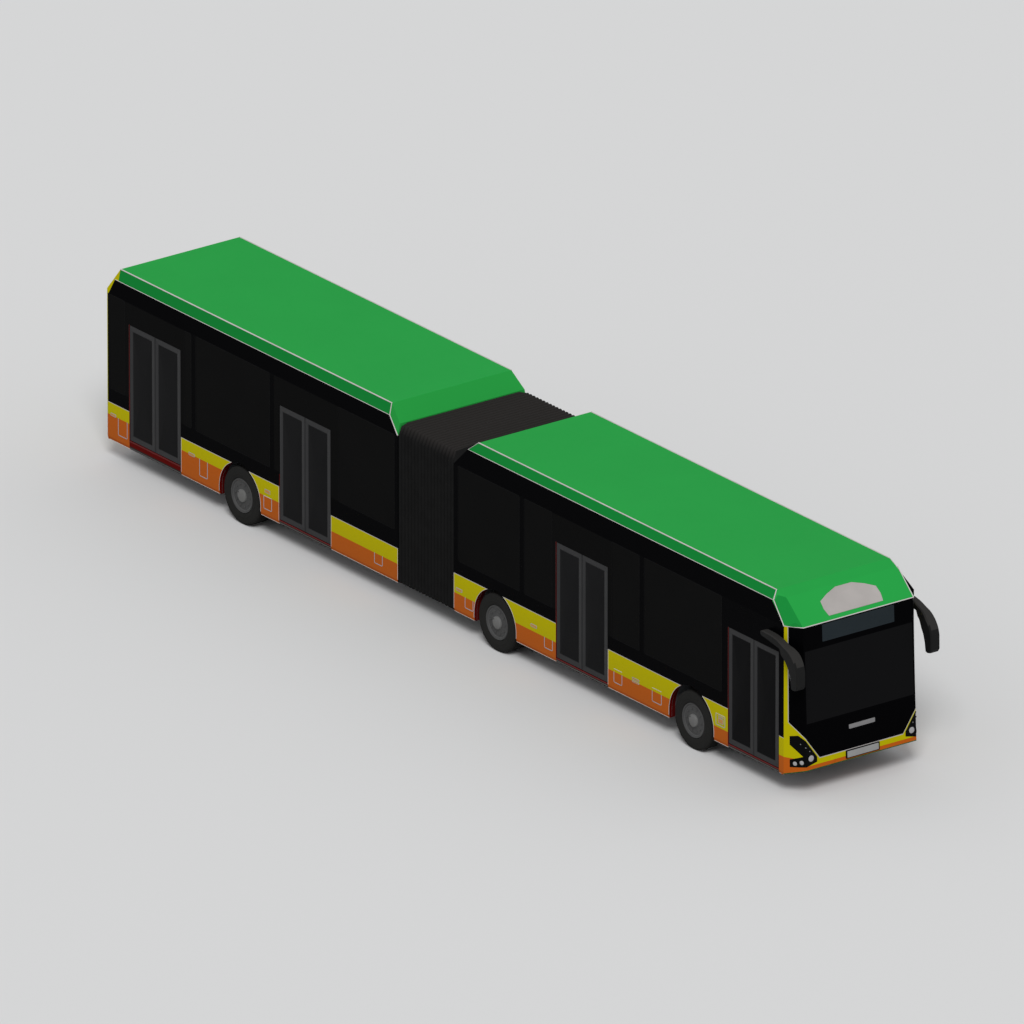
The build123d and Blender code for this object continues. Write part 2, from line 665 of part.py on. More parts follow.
def rim(name, axle_x, side, inner_faces, bore_r):
    """Rims of one wheel: barrels with lips, a cover disc outside and a hub around the stub."""
    outer_y = inner_faces[-1]
    depth = TYRE_WIDTH
    span = outer_y - inner_faces[0]
    with BuildPart() as built:
        for inner_y in inner_faces:
            spin_profile(wheel_plane(axle_x, side, inner_y), [
                (BARREL_R - RIM_SHEET, 26.0), (BARREL_R, 26.0), (BARREL_R, depth - 26.0),
                (BARREL_R - RIM_SHEET, depth - 26.0),
            ])
        spin_profile(wheel_plane(axle_x, side, outer_y), [
            (0.0, depth - COVER_SET - 22.0), (COVER_R + 1.0, depth - COVER_SET - 22.0),
            (BARREL_R, depth - 26.0), (BARREL_R - 6.0, depth - 12.0), (COVER_R - 8.0, depth - 14.0),
            (COVER_R - 30.0, depth - COVER_SET), (HUB_R + 18.0, depth - COVER_SET - 6.0),
            (HUB_R, depth - COVER_SET + HUB_OUT - 14.0), (HUB_R - 16.0, depth - COVER_SET + HUB_OUT),
            (0.0, depth - COVER_SET + HUB_OUT + 4.0),
        ])
        spin_profile(wheel_plane(axle_x, side, outer_y), [
            (bore_r, -span + 60.0), (bore_r + 45.0, -span + 60.0),
            (bore_r + 45.0, depth - COVER_SET - 22.0), (bore_r, depth - COVER_SET - 22.0),
        ])
        if len(inner_faces) > 1:
            spin_profile(wheel_plane(axle_x, side, outer_y), [
                (bore_r, -30.0), (BARREL_R - 2.0, -30.0), (BARREL_R - 2.0, -5.0), (bore_r, -5.0),
            ])
            spin_profile(wheel_plane(axle_x, side, outer_y), [
                (BARREL_R - RIM_SHEET, depth - span - 35.0), (BARREL_R, depth - span - 35.0),
                (BARREL_R, 40.0), (BARREL_R - RIM_SHEET, 40.0),
            ])
    export(built, f"{name}_rim")


SINGLE_FACE = [TYRE_OUTER_Y - TYRE_WIDTH]
TWIN_FACES = [TYRE_OUTER_Y - TYRE_WIDTH - TWIN_PITCH, TYRE_OUTER_Y - TYRE_WIDTH]
SINGLE_STUB_R = 45.0
TWIN_STUB_R = 60.0
WHEEL_ROWS = [
    # name, axle x, side, inner faces of the tyres, stub radius
    ("front_right", FRONT_AXLE_X, RIGHT, SINGLE_FACE, SINGLE_STUB_R),
    ("front_left", FRONT_AXLE_X, LEFT, SINGLE_FACE, SINGLE_STUB_R),
    ("middle_right", MIDDLE_AXLE_X, RIGHT, TWIN_FACES, TWIN_STUB_R),
    ("middle_left", MIDDLE_AXLE_X, LEFT, TWIN_FACES, TWIN_STUB_R),
    ("rear_right", REAR_AXLE_X, RIGHT, TWIN_FACES, TWIN_STUB_R),
    ("rear_left", REAR_AXLE_X, LEFT, TWIN_FACES, TWIN_STUB_R),
]
for name, axle_x, side, inner_faces, stub_r in WHEEL_ROWS:
    tyre(name, axle_x, side, inner_faces)
    rim(name, axle_x, side, inner_faces, stub_r + FIT)

# Axles. The front beam ends in bosses on the kingpins; the driven and trailing beams drop at the middle.

BEAM_UNDER_Z = 155.0
BEAM_TOP_Z = 262.0
FRONT_BEAM_HALF = 50.0
TWIN_BEAM_HALF = 90.0
BOSS_R = 44.0
BOSS_HALF = 85.0
FORK_THICK = 34.0
FORK_GAP = 1.0
FORK_R = 52.0
SPRING_R = 75.0
SPRING_Y = 470.0
SPRING_X = 240.0
LINK_LENGTH = 560.0
LINK_HALF = 28.0
LINK_SECTION = (185.0, 235.0)
MIRRORED_SIDES = (RIGHT, LEFT)


def beam_outline(points):
    """Closed outline of a beam that is the same to both sides, from the (half width, z) points."""
    return [(y, z) for y, z in points] + [(-y, z) for y, z in reversed(points)]


def axle_mounts(axle_x, spring_x):
    """Springs with their seats, spring_x fore and aft of the beam, and leading links up to the rails."""
    with BuildSketch(Plane.XY.offset(LINK_SECTION[0])) as arms:
        for side in MIRRORED_SIDES:
            with Locations((axle_x, side * SPRING_Y)):
                Rectangle(2 * spring_x + 120.0, 90.0)
            with Locations((axle_x + LINK_LENGTH / 2, side * RAIL_Y)):
                Rectangle(LINK_LENGTH, 2 * LINK_HALF)
    extrude(arms.sketch, amount=LINK_SECTION[1] - LINK_SECTION[0])
    with BuildSketch(Plane.XY.offset(LINK_SECTION[0])) as hangers:
        with Locations(*[(axle_x + LINK_LENGTH, side * RAIL_Y) for side in MIRRORED_SIDES]):
            Rectangle(80.0, RAIL_WIDTH)
    extrude(hangers.sketch, amount=RAIL_UNDER_Z - SEAT_GAP - LINK_SECTION[0])
    with BuildSketch(Plane.XY.offset(LINK_SECTION[0] + 20.0)) as springs:
        for side in MIRRORED_SIDES:
            with Locations((axle_x - spring_x, side * SPRING_Y), (axle_x + spring_x, side * SPRING_Y)):
                Circle(SPRING_R)
    extrude(springs.sketch, amount=FLOOR_UNDER_Z - SEAT_GAP - LINK_SECTION[0] - 20.0)


with BuildPart() as front_axle:
    with BuildSketch(Plane.YZ.offset(FRONT_AXLE_X - FRONT_BEAM_HALF)):
        polygon_face(beam_outline([
            (700.0, BEAM_UNDER_Z), (830.0, 330.0), (885.0, TYRE_R - BOSS_HALF),
            (KINGPIN_Y, TYRE_R - BOSS_HALF),
            (KINGPIN_Y, TYRE_R + BOSS_HALF), (860.0, TYRE_R + BOSS_HALF), (800.0, 500.0),
            (660.0, BEAM_TOP_Z),
        ]))
    extrude(amount=2 * FRONT_BEAM_HALF)
    with BuildSketch(Plane.XY.offset(TYRE_R - BOSS_HALF)):
        for side in MIRRORED_SIDES:
            with Locations((FRONT_AXLE_X, side * (KINGPIN_Y + 100.0))):
                Rectangle(4 * BOSS_R, 200.0)
    extrude(amount=2 * BOSS_HALF, mode=Mode.SUBTRACT)
    with BuildSketch(Plane.XY.offset(TYRE_R - BOSS_HALF)):
        with Locations(*[(FRONT_AXLE_X, side * KINGPIN_Y) for side in MIRRORED_SIDES]):
            Circle(BOSS_R)
    extrude(amount=2 * BOSS_HALF)
    with BuildSketch(Plane.XY.offset(TYRE_R - BOSS_HALF)):
        with Locations(*[(FRONT_AXLE_X, side * KINGPIN_Y) for side in MIRRORED_SIDES]):
            Circle(KINGPIN_R + FIT)
    extrude(amount=2 * BOSS_HALF, mode=Mode.SUBTRACT)
    axle_mounts(FRONT_AXLE_X, 0.0)
export(front_axle, "front_axle")


CASING_R = 170.0
CASING_Y = (TWIN_FACES[0] - 38.0, TWIN_FACES[0] + 45.0)
BEAM_END_Y = TWIN_FACES[0] - 8.0


def twin_axle(name, axle_x):
    """Dropped beam with an end casing and a stub through each pair of wheels."""
    with BuildPart() as built:
        with BuildSketch(Plane.YZ.offset(axle_x - TWIN_BEAM_HALF)):
            polygon_face(beam_outline([
                (BEAM_END_Y - 42.0, BEAM_UNDER_Z), (BEAM_END_Y, 300.0), (BEAM_END_Y, 600.0),
                (CASING_Y[0], 600.0), (CASING_Y[0], 320.0), (BEAM_END_Y - 57.0, BEAM_TOP_Z),
            ]))
        extrude(amount=2 * TWIN_BEAM_HALF)
        for side in MIRRORED_SIDES:
            with BuildSketch(Plane.XZ.offset(-side * CASING_Y[0])):
                with Locations((axle_x, TYRE_R)):
                    Circle(TWIN_STUB_R)
            extrude(amount=-side * (TWIN_FACES[1] + STUB_REACH - 5.0 - CASING_Y[0]))
            with BuildSketch(Plane.XZ.offset(-side * CASING_Y[0])):
                with Locations((axle_x, TYRE_R)):
                    Circle(CASING_R)
            extrude(amount=-side * (CASING_Y[1] - CASING_Y[0]))
        axle_mounts(axle_x, SPRING_X)
    export(built, name)


twin_axle("middle_axle", MIDDLE_AXLE_X)
twin_axle("rear_axle", REAR_AXLE_X)

# Steering: a knuckle forks over each boss, and the tie rod joins the two arms behind the beam.

ARM_BACK = 215.0
ARM_THICK = 30.0
ARM_Y = KINGPIN_Y
ARM_Z = (205.0, 229.0)
TIE_R = 16.0
TIE_Z = 247.0
TIE_PIN_R = 12.0


def knuckle(name, side):
    """Kingpin, fork, stub and steering arm of one front wheel."""
    fork_z = BOSS_HALF + FORK_GAP
    with BuildPart() as built:
        with BuildSketch(Plane.XY.offset(TYRE_R - fork_z - FORK_THICK)):
            with Locations((FRONT_AXLE_X, side * KINGPIN_Y)):
                Circle(KINGPIN_R)
        extrude(amount=2 * (fork_z + FORK_THICK))
        for low_z in (TYRE_R - fork_z - FORK_THICK, TYRE_R + fork_z):
            with BuildSketch(Plane.XY.offset(low_z)):
                with Locations((FRONT_AXLE_X, side * KINGPIN_Y)):
                    Circle(FORK_R)
                with Locations((FRONT_AXLE_X, side * (KINGPIN_Y + 45.0))):
                    Rectangle(2 * FORK_R, 90.0)
            extrude(amount=FORK_THICK)
        with BuildSketch(Plane.XY.offset(TYRE_R - fork_z - FORK_THICK)):
            with Locations((FRONT_AXLE_X, side * (KINGPIN_Y + 75.0))):
                Rectangle(2 * FORK_R, 30.0)
        extrude(amount=2 * (fork_z + FORK_THICK))
        with BuildSketch(Plane.XZ.offset(-side * (KINGPIN_Y + 80.0))):
            with Locations((FRONT_AXLE_X, TYRE_R)):
                Circle(SINGLE_STUB_R)
        extrude(amount=-side * (SINGLE_FACE[0] + STUB_REACH - 5.0 - KINGPIN_Y - 80.0))
        root_z = TYRE_R - fork_z - FORK_THICK
        with BuildSketch(Plane.XZ.offset(-side * (ARM_Y - 16.0))):
            polygon_face([
                (FRONT_AXLE_X + 30.0, root_z - ARM_THICK),
                (FRONT_AXLE_X + 30.0, root_z),
                (FRONT_AXLE_X - 70.0, root_z),
                (FRONT_AXLE_X - ARM_BACK + 32.0, ARM_Z[1]),
                (FRONT_AXLE_X - ARM_BACK - 24.0, ARM_Z[1]),
                (FRONT_AXLE_X - ARM_BACK - 24.0, ARM_Z[0]),
                (FRONT_AXLE_X - ARM_BACK + 40.0, ARM_Z[0]),
                (FRONT_AXLE_X - 80.0, root_z - ARM_THICK),
            ])
        extrude(amount=-side * 36.0)
        with BuildSketch(Plane.XY.offset(ARM_Z[0])):
            with Locations((FRONT_AXLE_X - ARM_BACK, side * ARM_Y)):
                Circle(TIE_PIN_R)
        extrude(amount=TIE_Z + TIE_R - ARM_Z[0])
    export(built, name)


knuckle("knuckle_right", RIGHT)
knuckle("knuckle_left", LEFT)

with BuildPart() as tie_rod:
    with BuildSketch(Plane.XZ.offset(-ARM_Y)):
        with Locations((FRONT_AXLE_X - ARM_BACK, TIE_Z)):
            Circle(TIE_R)
    extrude(amount=2 * ARM_Y)
    with BuildSketch(Plane.XY.offset(TIE_Z - TIE_R)):
        with Locations(*[(FRONT_AXLE_X - ARM_BACK, side * ARM_Y) for side in MIRRORED_SIDES]):
            Circle(TIE_PIN_R + 14.0)
    extrude(amount=2 * TIE_R)
    with BuildSketch(Plane.XY.offset(TIE_Z - TIE_R)):
        with Locations(*[(FRONT_AXLE_X - ARM_BACK, side * ARM_Y) for side in MIRRORED_SIDES]):
            Circle(TIE_PIN_R + FIT)
    extrude(amount=2 * TIE_R, mode=Mode.SUBTRACT)
export(tie_rod, "tie_rod")

# Articulation: a lower ring on the front car's tongue, an upper disc on the rear car's.

LOWER_RING_Z = (300.0, 342.0)
UPPER_DISC_Z = (342.5, 390.0)
RING_INNER_R = 560.0
BELLOWS_TOP_Z = 3050.0
BELLOWS_FOOT_Z = 370.0
BELLOWS_UNDER_Z = 100.0
PLEATS = 9
PLEAT_DEPTH = 65.0
BELLOWS_SKIN = 8.0
BELLOWS_CORNER = 170.0
BELLOWS_LENGTH = FRONT_CAR_END_X - REAR_CAR_END_X - 2 * SEAT_GAP
HOOP_SIDE_GAP = 72.0
HOOP_TOP_GAP = 37.0
HOOP_HALF = HALF_WIDTH - PLEAT_DEPTH - BELLOWS_SKIN - HOOP_SIDE_GAP
HOOP_TOP_Z = BELLOWS_TOP_Z - PLEAT_DEPTH - BELLOWS_SKIN - HOOP_TOP_GAP
HOOP_BAR = 40.0

with BuildPart() as front_turntable:
    with BuildSketch(Plane.XY.offset(LOWER_RING_Z[0])):
        with Locations((PIVOT_X, 0.0)):
            Circle(RING_R)
            Circle(RING_INNER_R, mode=Mode.SUBTRACT)
        with Locations(((PIVOT_X + FRONT_CAR_END_X) / 2 + 170.0, 0.0)):
            Rectangle(FRONT_CAR_END_X - PIVOT_X - 340.0 - 2 * SEAT_GAP, 2 * TONGUE_HALF)
        with Locations((PIVOT_X, 0.0)):
            Circle(RING_INNER_R - 1.0, mode=Mode.SUBTRACT)
    extrude(amount=LOWER_RING_Z[1] - LOWER_RING_Z[0])
    with BuildSketch(Plane.XY.offset(LOWER_RING_Z[0])):
        with Locations((PIVOT_X, 0.0)):
            Circle(90.0)
        with Locations((PIVOT_X, 0.0)):
            Rectangle(2 * RING_INNER_R + 20.0, 110.0)
            Rectangle(110.0, 2 * RING_INNER_R + 20.0)
    extrude(amount=LOWER_RING_Z[1] - LOWER_RING_Z[0])
export(front_turntable, "front_turntable")

with BuildPart() as rear_turntable:
    with BuildSketch(Plane.XY.offset(UPPER_DISC_Z[0])):
        with Locations((PIVOT_X, 0.0)):
            Circle(RING_R)
        with Locations(((PIVOT_X + REAR_CAR_END_X) / 2 - 170.0, 0.0)):
            Rectangle(PIVOT_X - REAR_CAR_END_X - 340.0 - 2 * SEAT_GAP, 2 * TONGUE_HALF)
    extrude(amount=UPPER_DISC_Z[1] - UPPER_DISC_Z[0])
export(rear_turntable, "rear_turntable")

# The hoop stands across the middle of the bellows and turns half as far as the rear car.
with BuildPart() as middle_hoop:
    with BuildSketch(Plane.YZ.offset(PIVOT_X - HOOP_BAR / 2)):
        rectangle_at(0.0, UPPER_DISC_Z[1] + SEAT_GAP, HOOP_TOP_Z, HOOP_HALF)
    extrude(amount=HOOP_BAR)
    with BuildSketch(Plane.YZ.offset(PIVOT_X - HOOP_BAR / 2)):
        low_z = UPPER_DISC_Z[1] + SEAT_GAP + HOOP_BAR
        rectangle_at(0.0, low_z, HOOP_TOP_Z - HOOP_BAR, HOOP_HALF - HOOP_BAR)
    extrude(amount=HOOP_BAR, mode=Mode.SUBTRACT)
export(middle_hoop, "middle_hoop")

# Bellows: nine pleats of two slopes each, round a straight passage.


def bellows_section(x, inset):
    """Rounded section of the bellows at x, moved in by inset."""
    with BuildSketch(Plane.YZ.offset(x)) as section:
        with Locations((0.0, (BELLOWS_TOP_Z + BELLOWS_UNDER_Z) / 2)):
            height = BELLOWS_TOP_Z - BELLOWS_UNDER_Z - 2 * inset
            RectangleRounded(2 * (HALF_WIDTH - inset), height, BELLOWS_CORNER - inset)
    return section.sketch


bellows_start = REAR_CAR_END_X + SEAT_GAP
with BuildPart() as bellows:
    sections = [
        bellows_section(bellows_start + step * BELLOWS_LENGTH / (2 * PLEATS), PLEAT_DEPTH * (1 - step % 2))
        for step in range(2 * PLEATS + 1)
    ]
    loft(sections, ruled=True)
    extrude(bellows_section(bellows_start - 1.0, PLEAT_DEPTH + BELLOWS_SKIN), amount=BELLOWS_LENGTH + 2.0,
            mode=Mode.SUBTRACT)
    with BuildSketch(Plane.XY.offset(BELLOWS_UNDER_Z - 1.0)):
        with Locations((PIVOT_X, 0.0)):
            Rectangle(BELLOWS_LENGTH + 2.0, 2 * HALF_WIDTH + 2.0)
    extrude(amount=BELLOWS_FOOT_Z - BELLOWS_UNDER_Z + 1.0, mode=Mode.SUBTRACT)
export(bellows, "bellows")

# Mirrors: a hooked arm from the side wall above the door line, with its head ahead of the corner.

MIRROR_Y = (1229.0, 1413.0)
MIRROR_HEAD_X = 8900.0
MIRROR_FRONT_X = 9165.0
MIRROR_FOOT_Z = 1933.0
MIRROR_ROOT_X = 8225.0
MIRROR_ROOT_Z = (2605.0, 2692.0)
MIRROR_CROOK = (8718.0, 2520.0)
MIRROR_NECK = (8750.0, 2420.0)
MIRROR_HEEL = (8985.0, 2040.0)
MIRROR_SHOULDER = (MIRROR_FRONT_X, 2240.0)
MIRROR_CREST = (8820.0, 2600.0)
MIRROR_THROAT = (8905.0, 2262.0)
MIRROR_BROW = (9075.0, 2455.0)
MIRROR_BACK = (8640.0, 2665.0)
MIRROR_ROOT_MIDDLE_Z = 2655.0

with BuildPart() as mirrors:
    for side in MIRRORED_SIDES:
        root = (MIRROR_ROOT_X, HALF_WIDTH + SEAT_GAP)
        head = (MIRROR_HEAD_X, MIRROR_Y[0])
        root_foot = (MIRROR_ROOT_X + 25.0, MIRROR_ROOT_Z[0])
        root_top = (MIRROR_ROOT_X + 195.0, MIRROR_ROOT_Z[1])
        root_back = (MIRROR_ROOT_X + 75.0, MIRROR_ROOT_Z[1])
        for rear_x, near_y in (root, head):
            with BuildSketch(Plane.XZ.offset(-side * near_y)):
                with BuildLine():
                    Polyline(root_foot, MIRROR_CROOK, MIRROR_NECK)
                    ThreePointArc(MIRROR_NECK, MIRROR_THROAT, MIRROR_HEEL)
                    Polyline(
                        MIRROR_HEEL,
                        (MIRROR_HEEL[0] + 18.0, MIRROR_FOOT_Z + 12.0),
                        (MIRROR_HEEL[0] + 60.0, MIRROR_FOOT_Z),
                        (MIRROR_FRONT_X - 35.0, MIRROR_FOOT_Z + 17.0),
                        (MIRROR_FRONT_X, MIRROR_FOOT_Z + 67.0),
                        MIRROR_SHOULDER,
                    )
                    ThreePointArc(MIRROR_SHOULDER, MIRROR_BROW, MIRROR_CREST)
                    ThreePointArc(MIRROR_CREST, MIRROR_BACK, root_top)
                    Line(root_top, root_back)
                    ThreePointArc(root_back, (MIRROR_ROOT_X, MIRROR_ROOT_MIDDLE_Z), root_foot)
                make_face()
                with Locations(((rear_x + MIRROR_FRONT_X) / 2, 2400.0)):
                    Rectangle(MIRROR_FRONT_X - rear_x + 10.0, 1000.0, mode=Mode.INTERSECT)
            extrude(amount=-side * (MIRROR_Y[1] - near_y))
export(mirrors, "mirrors")

# Cabin fittings. Seat rows are the x of the backrest's foot and the side.

SEAT_WIDTH = 860.0
SEAT_Y = INNER_HALF - SEAT_WIDTH / 2 - 5.0
PEDESTAL_WIDTH = 260.0
SEAT_SHELL = [
    (90.0, 360.0), (40.0, 375.0), (-70.0, 985.0), (-25.0, 1000.0), (88.0, 455.0), (470.0, 435.0),
    (490.0, 415.0), (480.0, 385.0),
]
SEAT_PEDESTAL = [(170.0, 0.0), (190.0, 380.0), (330.0, 385.0), (300.0, 0.0)]
FRONT_SEATS = [
    (1900.0, LEFT), (2640.0, LEFT), (3380.0, LEFT), (4120.0, LEFT), (4860.0, LEFT),
    (1900.0, RIGHT), (4320.0, RIGHT), (5060.0, RIGHT),
]
REAR_SEATS = [(-2200.0, LEFT), (-2940.0, LEFT), (-3680.0, LEFT), (-4420.0, LEFT), (-2200.0, RIGHT),
              (-2940.0, RIGHT)]
BACK_SEAT_X = -7400.0
DRIVER_X = 7640.0
DRIVER_Y = 560.0
DRIVER_WIDTH = 480.0


def seat(x, y, base_z, width):
    """One seat: bent shell of pan and backrest on a pedestal."""
    for outline, outline_width in ((SEAT_SHELL, width), (SEAT_PEDESTAL, min(PEDESTAL_WIDTH, width))):
        with BuildSketch(Plane.XZ.offset(-(y + outline_width / 2))) as face:
            polygon_face([(x + dx, base_z + dz) for dx, dz in outline])
        extrude(face.sketch, amount=outline_width)


with BuildPart() as front_seats:
    for x, side in FRONT_SEATS:
        seat(x, side * SEAT_Y, FLOOR_Z, SEAT_WIDTH)
    seat(DRIVER_X, DRIVER_Y, FLOOR_Z, DRIVER_WIDTH)
export(front_seats, "front_seats")

with BuildPart() as rear_seats:
    for x, side in REAR_SEATS:
        seat(x, side * SEAT_Y, FLOOR_Z, SEAT_WIDTH)
    seat(BACK_SEAT_X, LEFT * SEAT_Y, FLOOR_Z + REAR_STEP, SEAT_WIDTH)
export(rear_seats, "rear_seats")

DASH_WALL_GAP = 25.0
DASH_Y = (-450.0, INNER_HALF - DASH_WALL_GAP)
DASH_FRONT_X = 8750.0
WHEEL_X = 8150.0
WHEEL_Z = 1160.0
WHEEL_R = 215.0
WHEEL_GRIP_R = 15.0
COLUMN_LENGTH = 420.0
STEERING_PLANE = Plane((WHEEL_X, DRIVER_Y, WHEEL_Z), x_dir=(0.0, 1.0, 0.0), z_dir=(0.5, 0.0, -0.866))

with BuildPart() as dashboard:
    with BuildSketch(Plane.XZ.offset(-DASH_Y[1])):
        polygon_face([
            (DASH_FRONT_X - 350.0, FLOOR_Z), (DASH_FRONT_X - 410.0, 860.0), (DASH_FRONT_X - 520.0, 930.0),
            (DASH_FRONT_X - 480.0, 1060.0), (DASH_FRONT_X - 290.0, 1100.0), (DASH_FRONT_X, 1030.0),
            (DASH_FRONT_X, BELLY_Z[1] + 20.0), (DECK_FRONT_X - 10.0, BELLY_Z[1] + 20.0),
            (DECK_FRONT_X - 10.0, FLOOR_Z),
        ])
    extrude(amount=DASH_Y[1] - DASH_Y[0])
    with BuildSketch(Plane.XY.offset(FLOOR_Z)):
        nose_face(MASK_X - 600.0, WALL + SEAT_GAP, FRONT_TOP_X)
    extrude(amount=EAVES_Z, mode=Mode.INTERSECT)
    with BuildSketch(STEERING_PLANE) as hub:
        Circle(24.0)
    extrude(hub.sketch, amount=COLUMN_LENGTH)
    with BuildSketch(STEERING_PLANE) as wheel:
        Circle(WHEEL_R + WHEEL_GRIP_R)
        Circle(WHEEL_R - WHEEL_GRIP_R, mode=Mode.SUBTRACT)
        Rectangle(2 * WHEEL_R, 40.0)
        Circle(70.0)
    extrude(wheel.sketch, amount=2 * WHEEL_GRIP_R)
export(dashboard, "dashboard")

DRIVE_X = (-9130.0, -7720.0)
DRIVE_WIDTH = 840.0
DRIVE_TOP_Z = 1300.0
DRIVE_WALL_GAP = 45.0
with BuildPart() as drive_unit:
    with BuildSketch(Plane.XY.offset(FLOOR_Z + REAR_STEP)):
        with Locations((sum(DRIVE_X) / 2, INNER_HALF - DRIVE_WALL_GAP - DRIVE_WIDTH / 2)):
            Rectangle(DRIVE_X[1] - DRIVE_X[0], DRIVE_WIDTH)
    extrude(amount=DRIVE_TOP_Z - FLOOR_Z - REAR_STEP)
export(drive_unit, "drive_unit")

# Doors. Each leaf hangs at half its width on two arms of an upright column inside the jamb, and a
# roller at its leading edge runs in the header's track, so the leaf turns back twice as far as the arms.

EYE_R = 19.0
ARM_WIDTH = 28.0
ARM_DEPTH = 18.0
PIN_R = 8.0
ROLLER_R = 12.0
BRACKET_DEPTH = 20.0
LEAF_FOOT = 10.0
LEAF_HEAD = 8.0
ARM_HEAD_GAP = 2.0
ARM_FOOT_GAP = 4.0


def door_leaf(name, edge_x, way, opening, sill_z, top_z):
    """One leaf: framed pane, brackets to its pivots on the gear line, and the leading roller."""
    width = opening / 2 - JAMB_GAP - CENTRE_GAP
    column_x = edge_x - way * (COLUMN_BACK - JAMB_GAP)
    reach = (COLUMN_BACK + width - ROLLER_BACK) / 2
    pivot_x = column_x + way * reach
    roller_x = column_x + way * 2 * reach
    middle_x = edge_x + way * (JAMB_GAP + width / 2)
    foot_z = sill_z + LEAF_FOOT
    head_z = top_z - LEAF_HEAD
    middle_z = (foot_z + head_z) / 2
    outer_y = HALF_WIDTH - LEAF_INSET
    pane_width = width - 2 * STILE
    pane_height = head_z - foot_z - 2 * LEAF_RAIL
    with BuildPart() as leaf:
        with BuildSketch(Plane.XZ.offset(outer_y - LEAF_THICK)):
            with Locations((middle_x, middle_z)):
                Rectangle(width, head_z - foot_z)
                Rectangle(pane_width, pane_height, mode=Mode.SUBTRACT)
        extrude(amount=LEAF_THICK)
        with BuildSketch(Plane.XZ.offset(outer_y - 2.0 - GLASS)):
            with Locations((middle_x, middle_z)):
                Rectangle(pane_width - 2 * SEAT_GAP, pane_height - 2 * SEAT_GAP)
        extrude(amount=GLASS)
        for bracket_z, pin_z in ((head_z - BRACKET_DEPTH, top_z + ARM_HEAD_GAP + ARM_DEPTH),
                                 (foot_z, sill_z - ARM_FOOT_GAP - ARM_DEPTH)):
            with BuildSketch(Plane.XY.offset(bracket_z)):
                with Locations((pivot_x, -(GEAR_Y + outer_y - LEAF_THICK) / 2)):
                    Rectangle(2 * EYE_R, outer_y - LEAF_THICK - GEAR_Y)
                with Locations((pivot_x, -GEAR_Y)):
                    Circle(EYE_R)
            extrude(amount=BRACKET_DEPTH)
            with BuildSketch(Plane.XY.offset(bracket_z)):
                with Locations((pivot_x, -GEAR_Y)):
                    Circle(PIN_R)
            extrude(amount=pin_z - bracket_z)
        with BuildSketch(Plane.XY.offset(head_z - BRACKET_DEPTH)):
            with Locations((roller_x, -(GEAR_Y + outer_y - LEAF_THICK) / 2)):
                Rectangle(2 * ROLLER_R, outer_y - LEAF_THICK - GEAR_Y)
            with Locations((roller_x, -GEAR_Y)):
                Circle(ROLLER_R)
        extrude(amount=BRACKET_DEPTH)
        with BuildSketch(Plane.XY.offset(head_z - BRACKET_DEPTH)):
            with Locations((roller_x, -GEAR_Y)):
                Circle(PIN_R - 3.0)
        extrude(amount=top_z + HEADER_GAP + 4.0 - head_z + BRACKET_DEPTH)
        with BuildSketch(Plane.XY.offset(top_z + HEADER_GAP + 3.0)):
            with Locations((roller_x, -GEAR_Y)):
                Circle(ROLLER_R)
        extrude(amount=TRACK_DEPTH - 6.0)
    export(leaf, f"{name}_leaf")


def door_gear(name, edge_x, way, opening, sill_z, top_z, floor_z):
    """One leaf's column, from the floor to the header, with an arm above and one below the leaf."""
    width = opening / 2 - JAMB_GAP - CENTRE_GAP
    column_x = edge_x - way * (COLUMN_BACK - JAMB_GAP)
    reach = (COLUMN_BACK + width - ROLLER_BACK) / 2
    pivot_x = column_x + way * reach
    with BuildPart() as gear:
        with BuildSketch(Plane.XY.offset(floor_z + SEAT_GAP)):
            with Locations((column_x, -GEAR_Y)):
                Circle(COLUMN_R)
        extrude(amount=top_z + HEADER_GAP - floor_z - 2 * SEAT_GAP)
        for arm_z in (top_z + ARM_HEAD_GAP, sill_z - ARM_FOOT_GAP - ARM_DEPTH):
            with BuildSketch(Plane.XY.offset(arm_z)):
                with Locations(((column_x + pivot_x) / 2, -GEAR_Y)):
                    Rectangle(reach, ARM_WIDTH)
                with Locations((pivot_x, -GEAR_Y)):
                    Circle(EYE_R)
                    Circle(PIN_R + FIT, mode=Mode.SUBTRACT)
            extrude(amount=ARM_DEPTH)
    export(gear, f"{name}_gear")


DOOR_FLOORS = [(FRONT_DOORS, FLOOR_Z), (REAR_DOORS[:1], FLOOR_Z), (REAR_DOORS[1:], FLOOR_Z + REAR_STEP)]
for doors, floor_z in DOOR_FLOORS:
    for name, rear_x, front_x, sill_z, top_z in doors:
        for end, edge_x, way in (("rear", rear_x, 1.0), ("front", front_x, -1.0)):
            door_leaf(f"{name}_{end}", edge_x, way, front_x - rear_x, sill_z, top_z)
            door_gear(f"{name}_{end}", edge_x, way, front_x - rear_x, sill_z, top_z, floor_z)
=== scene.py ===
"""Looks of a two-car articulated city bus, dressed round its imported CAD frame. Lengths are metres."""
import json
import math

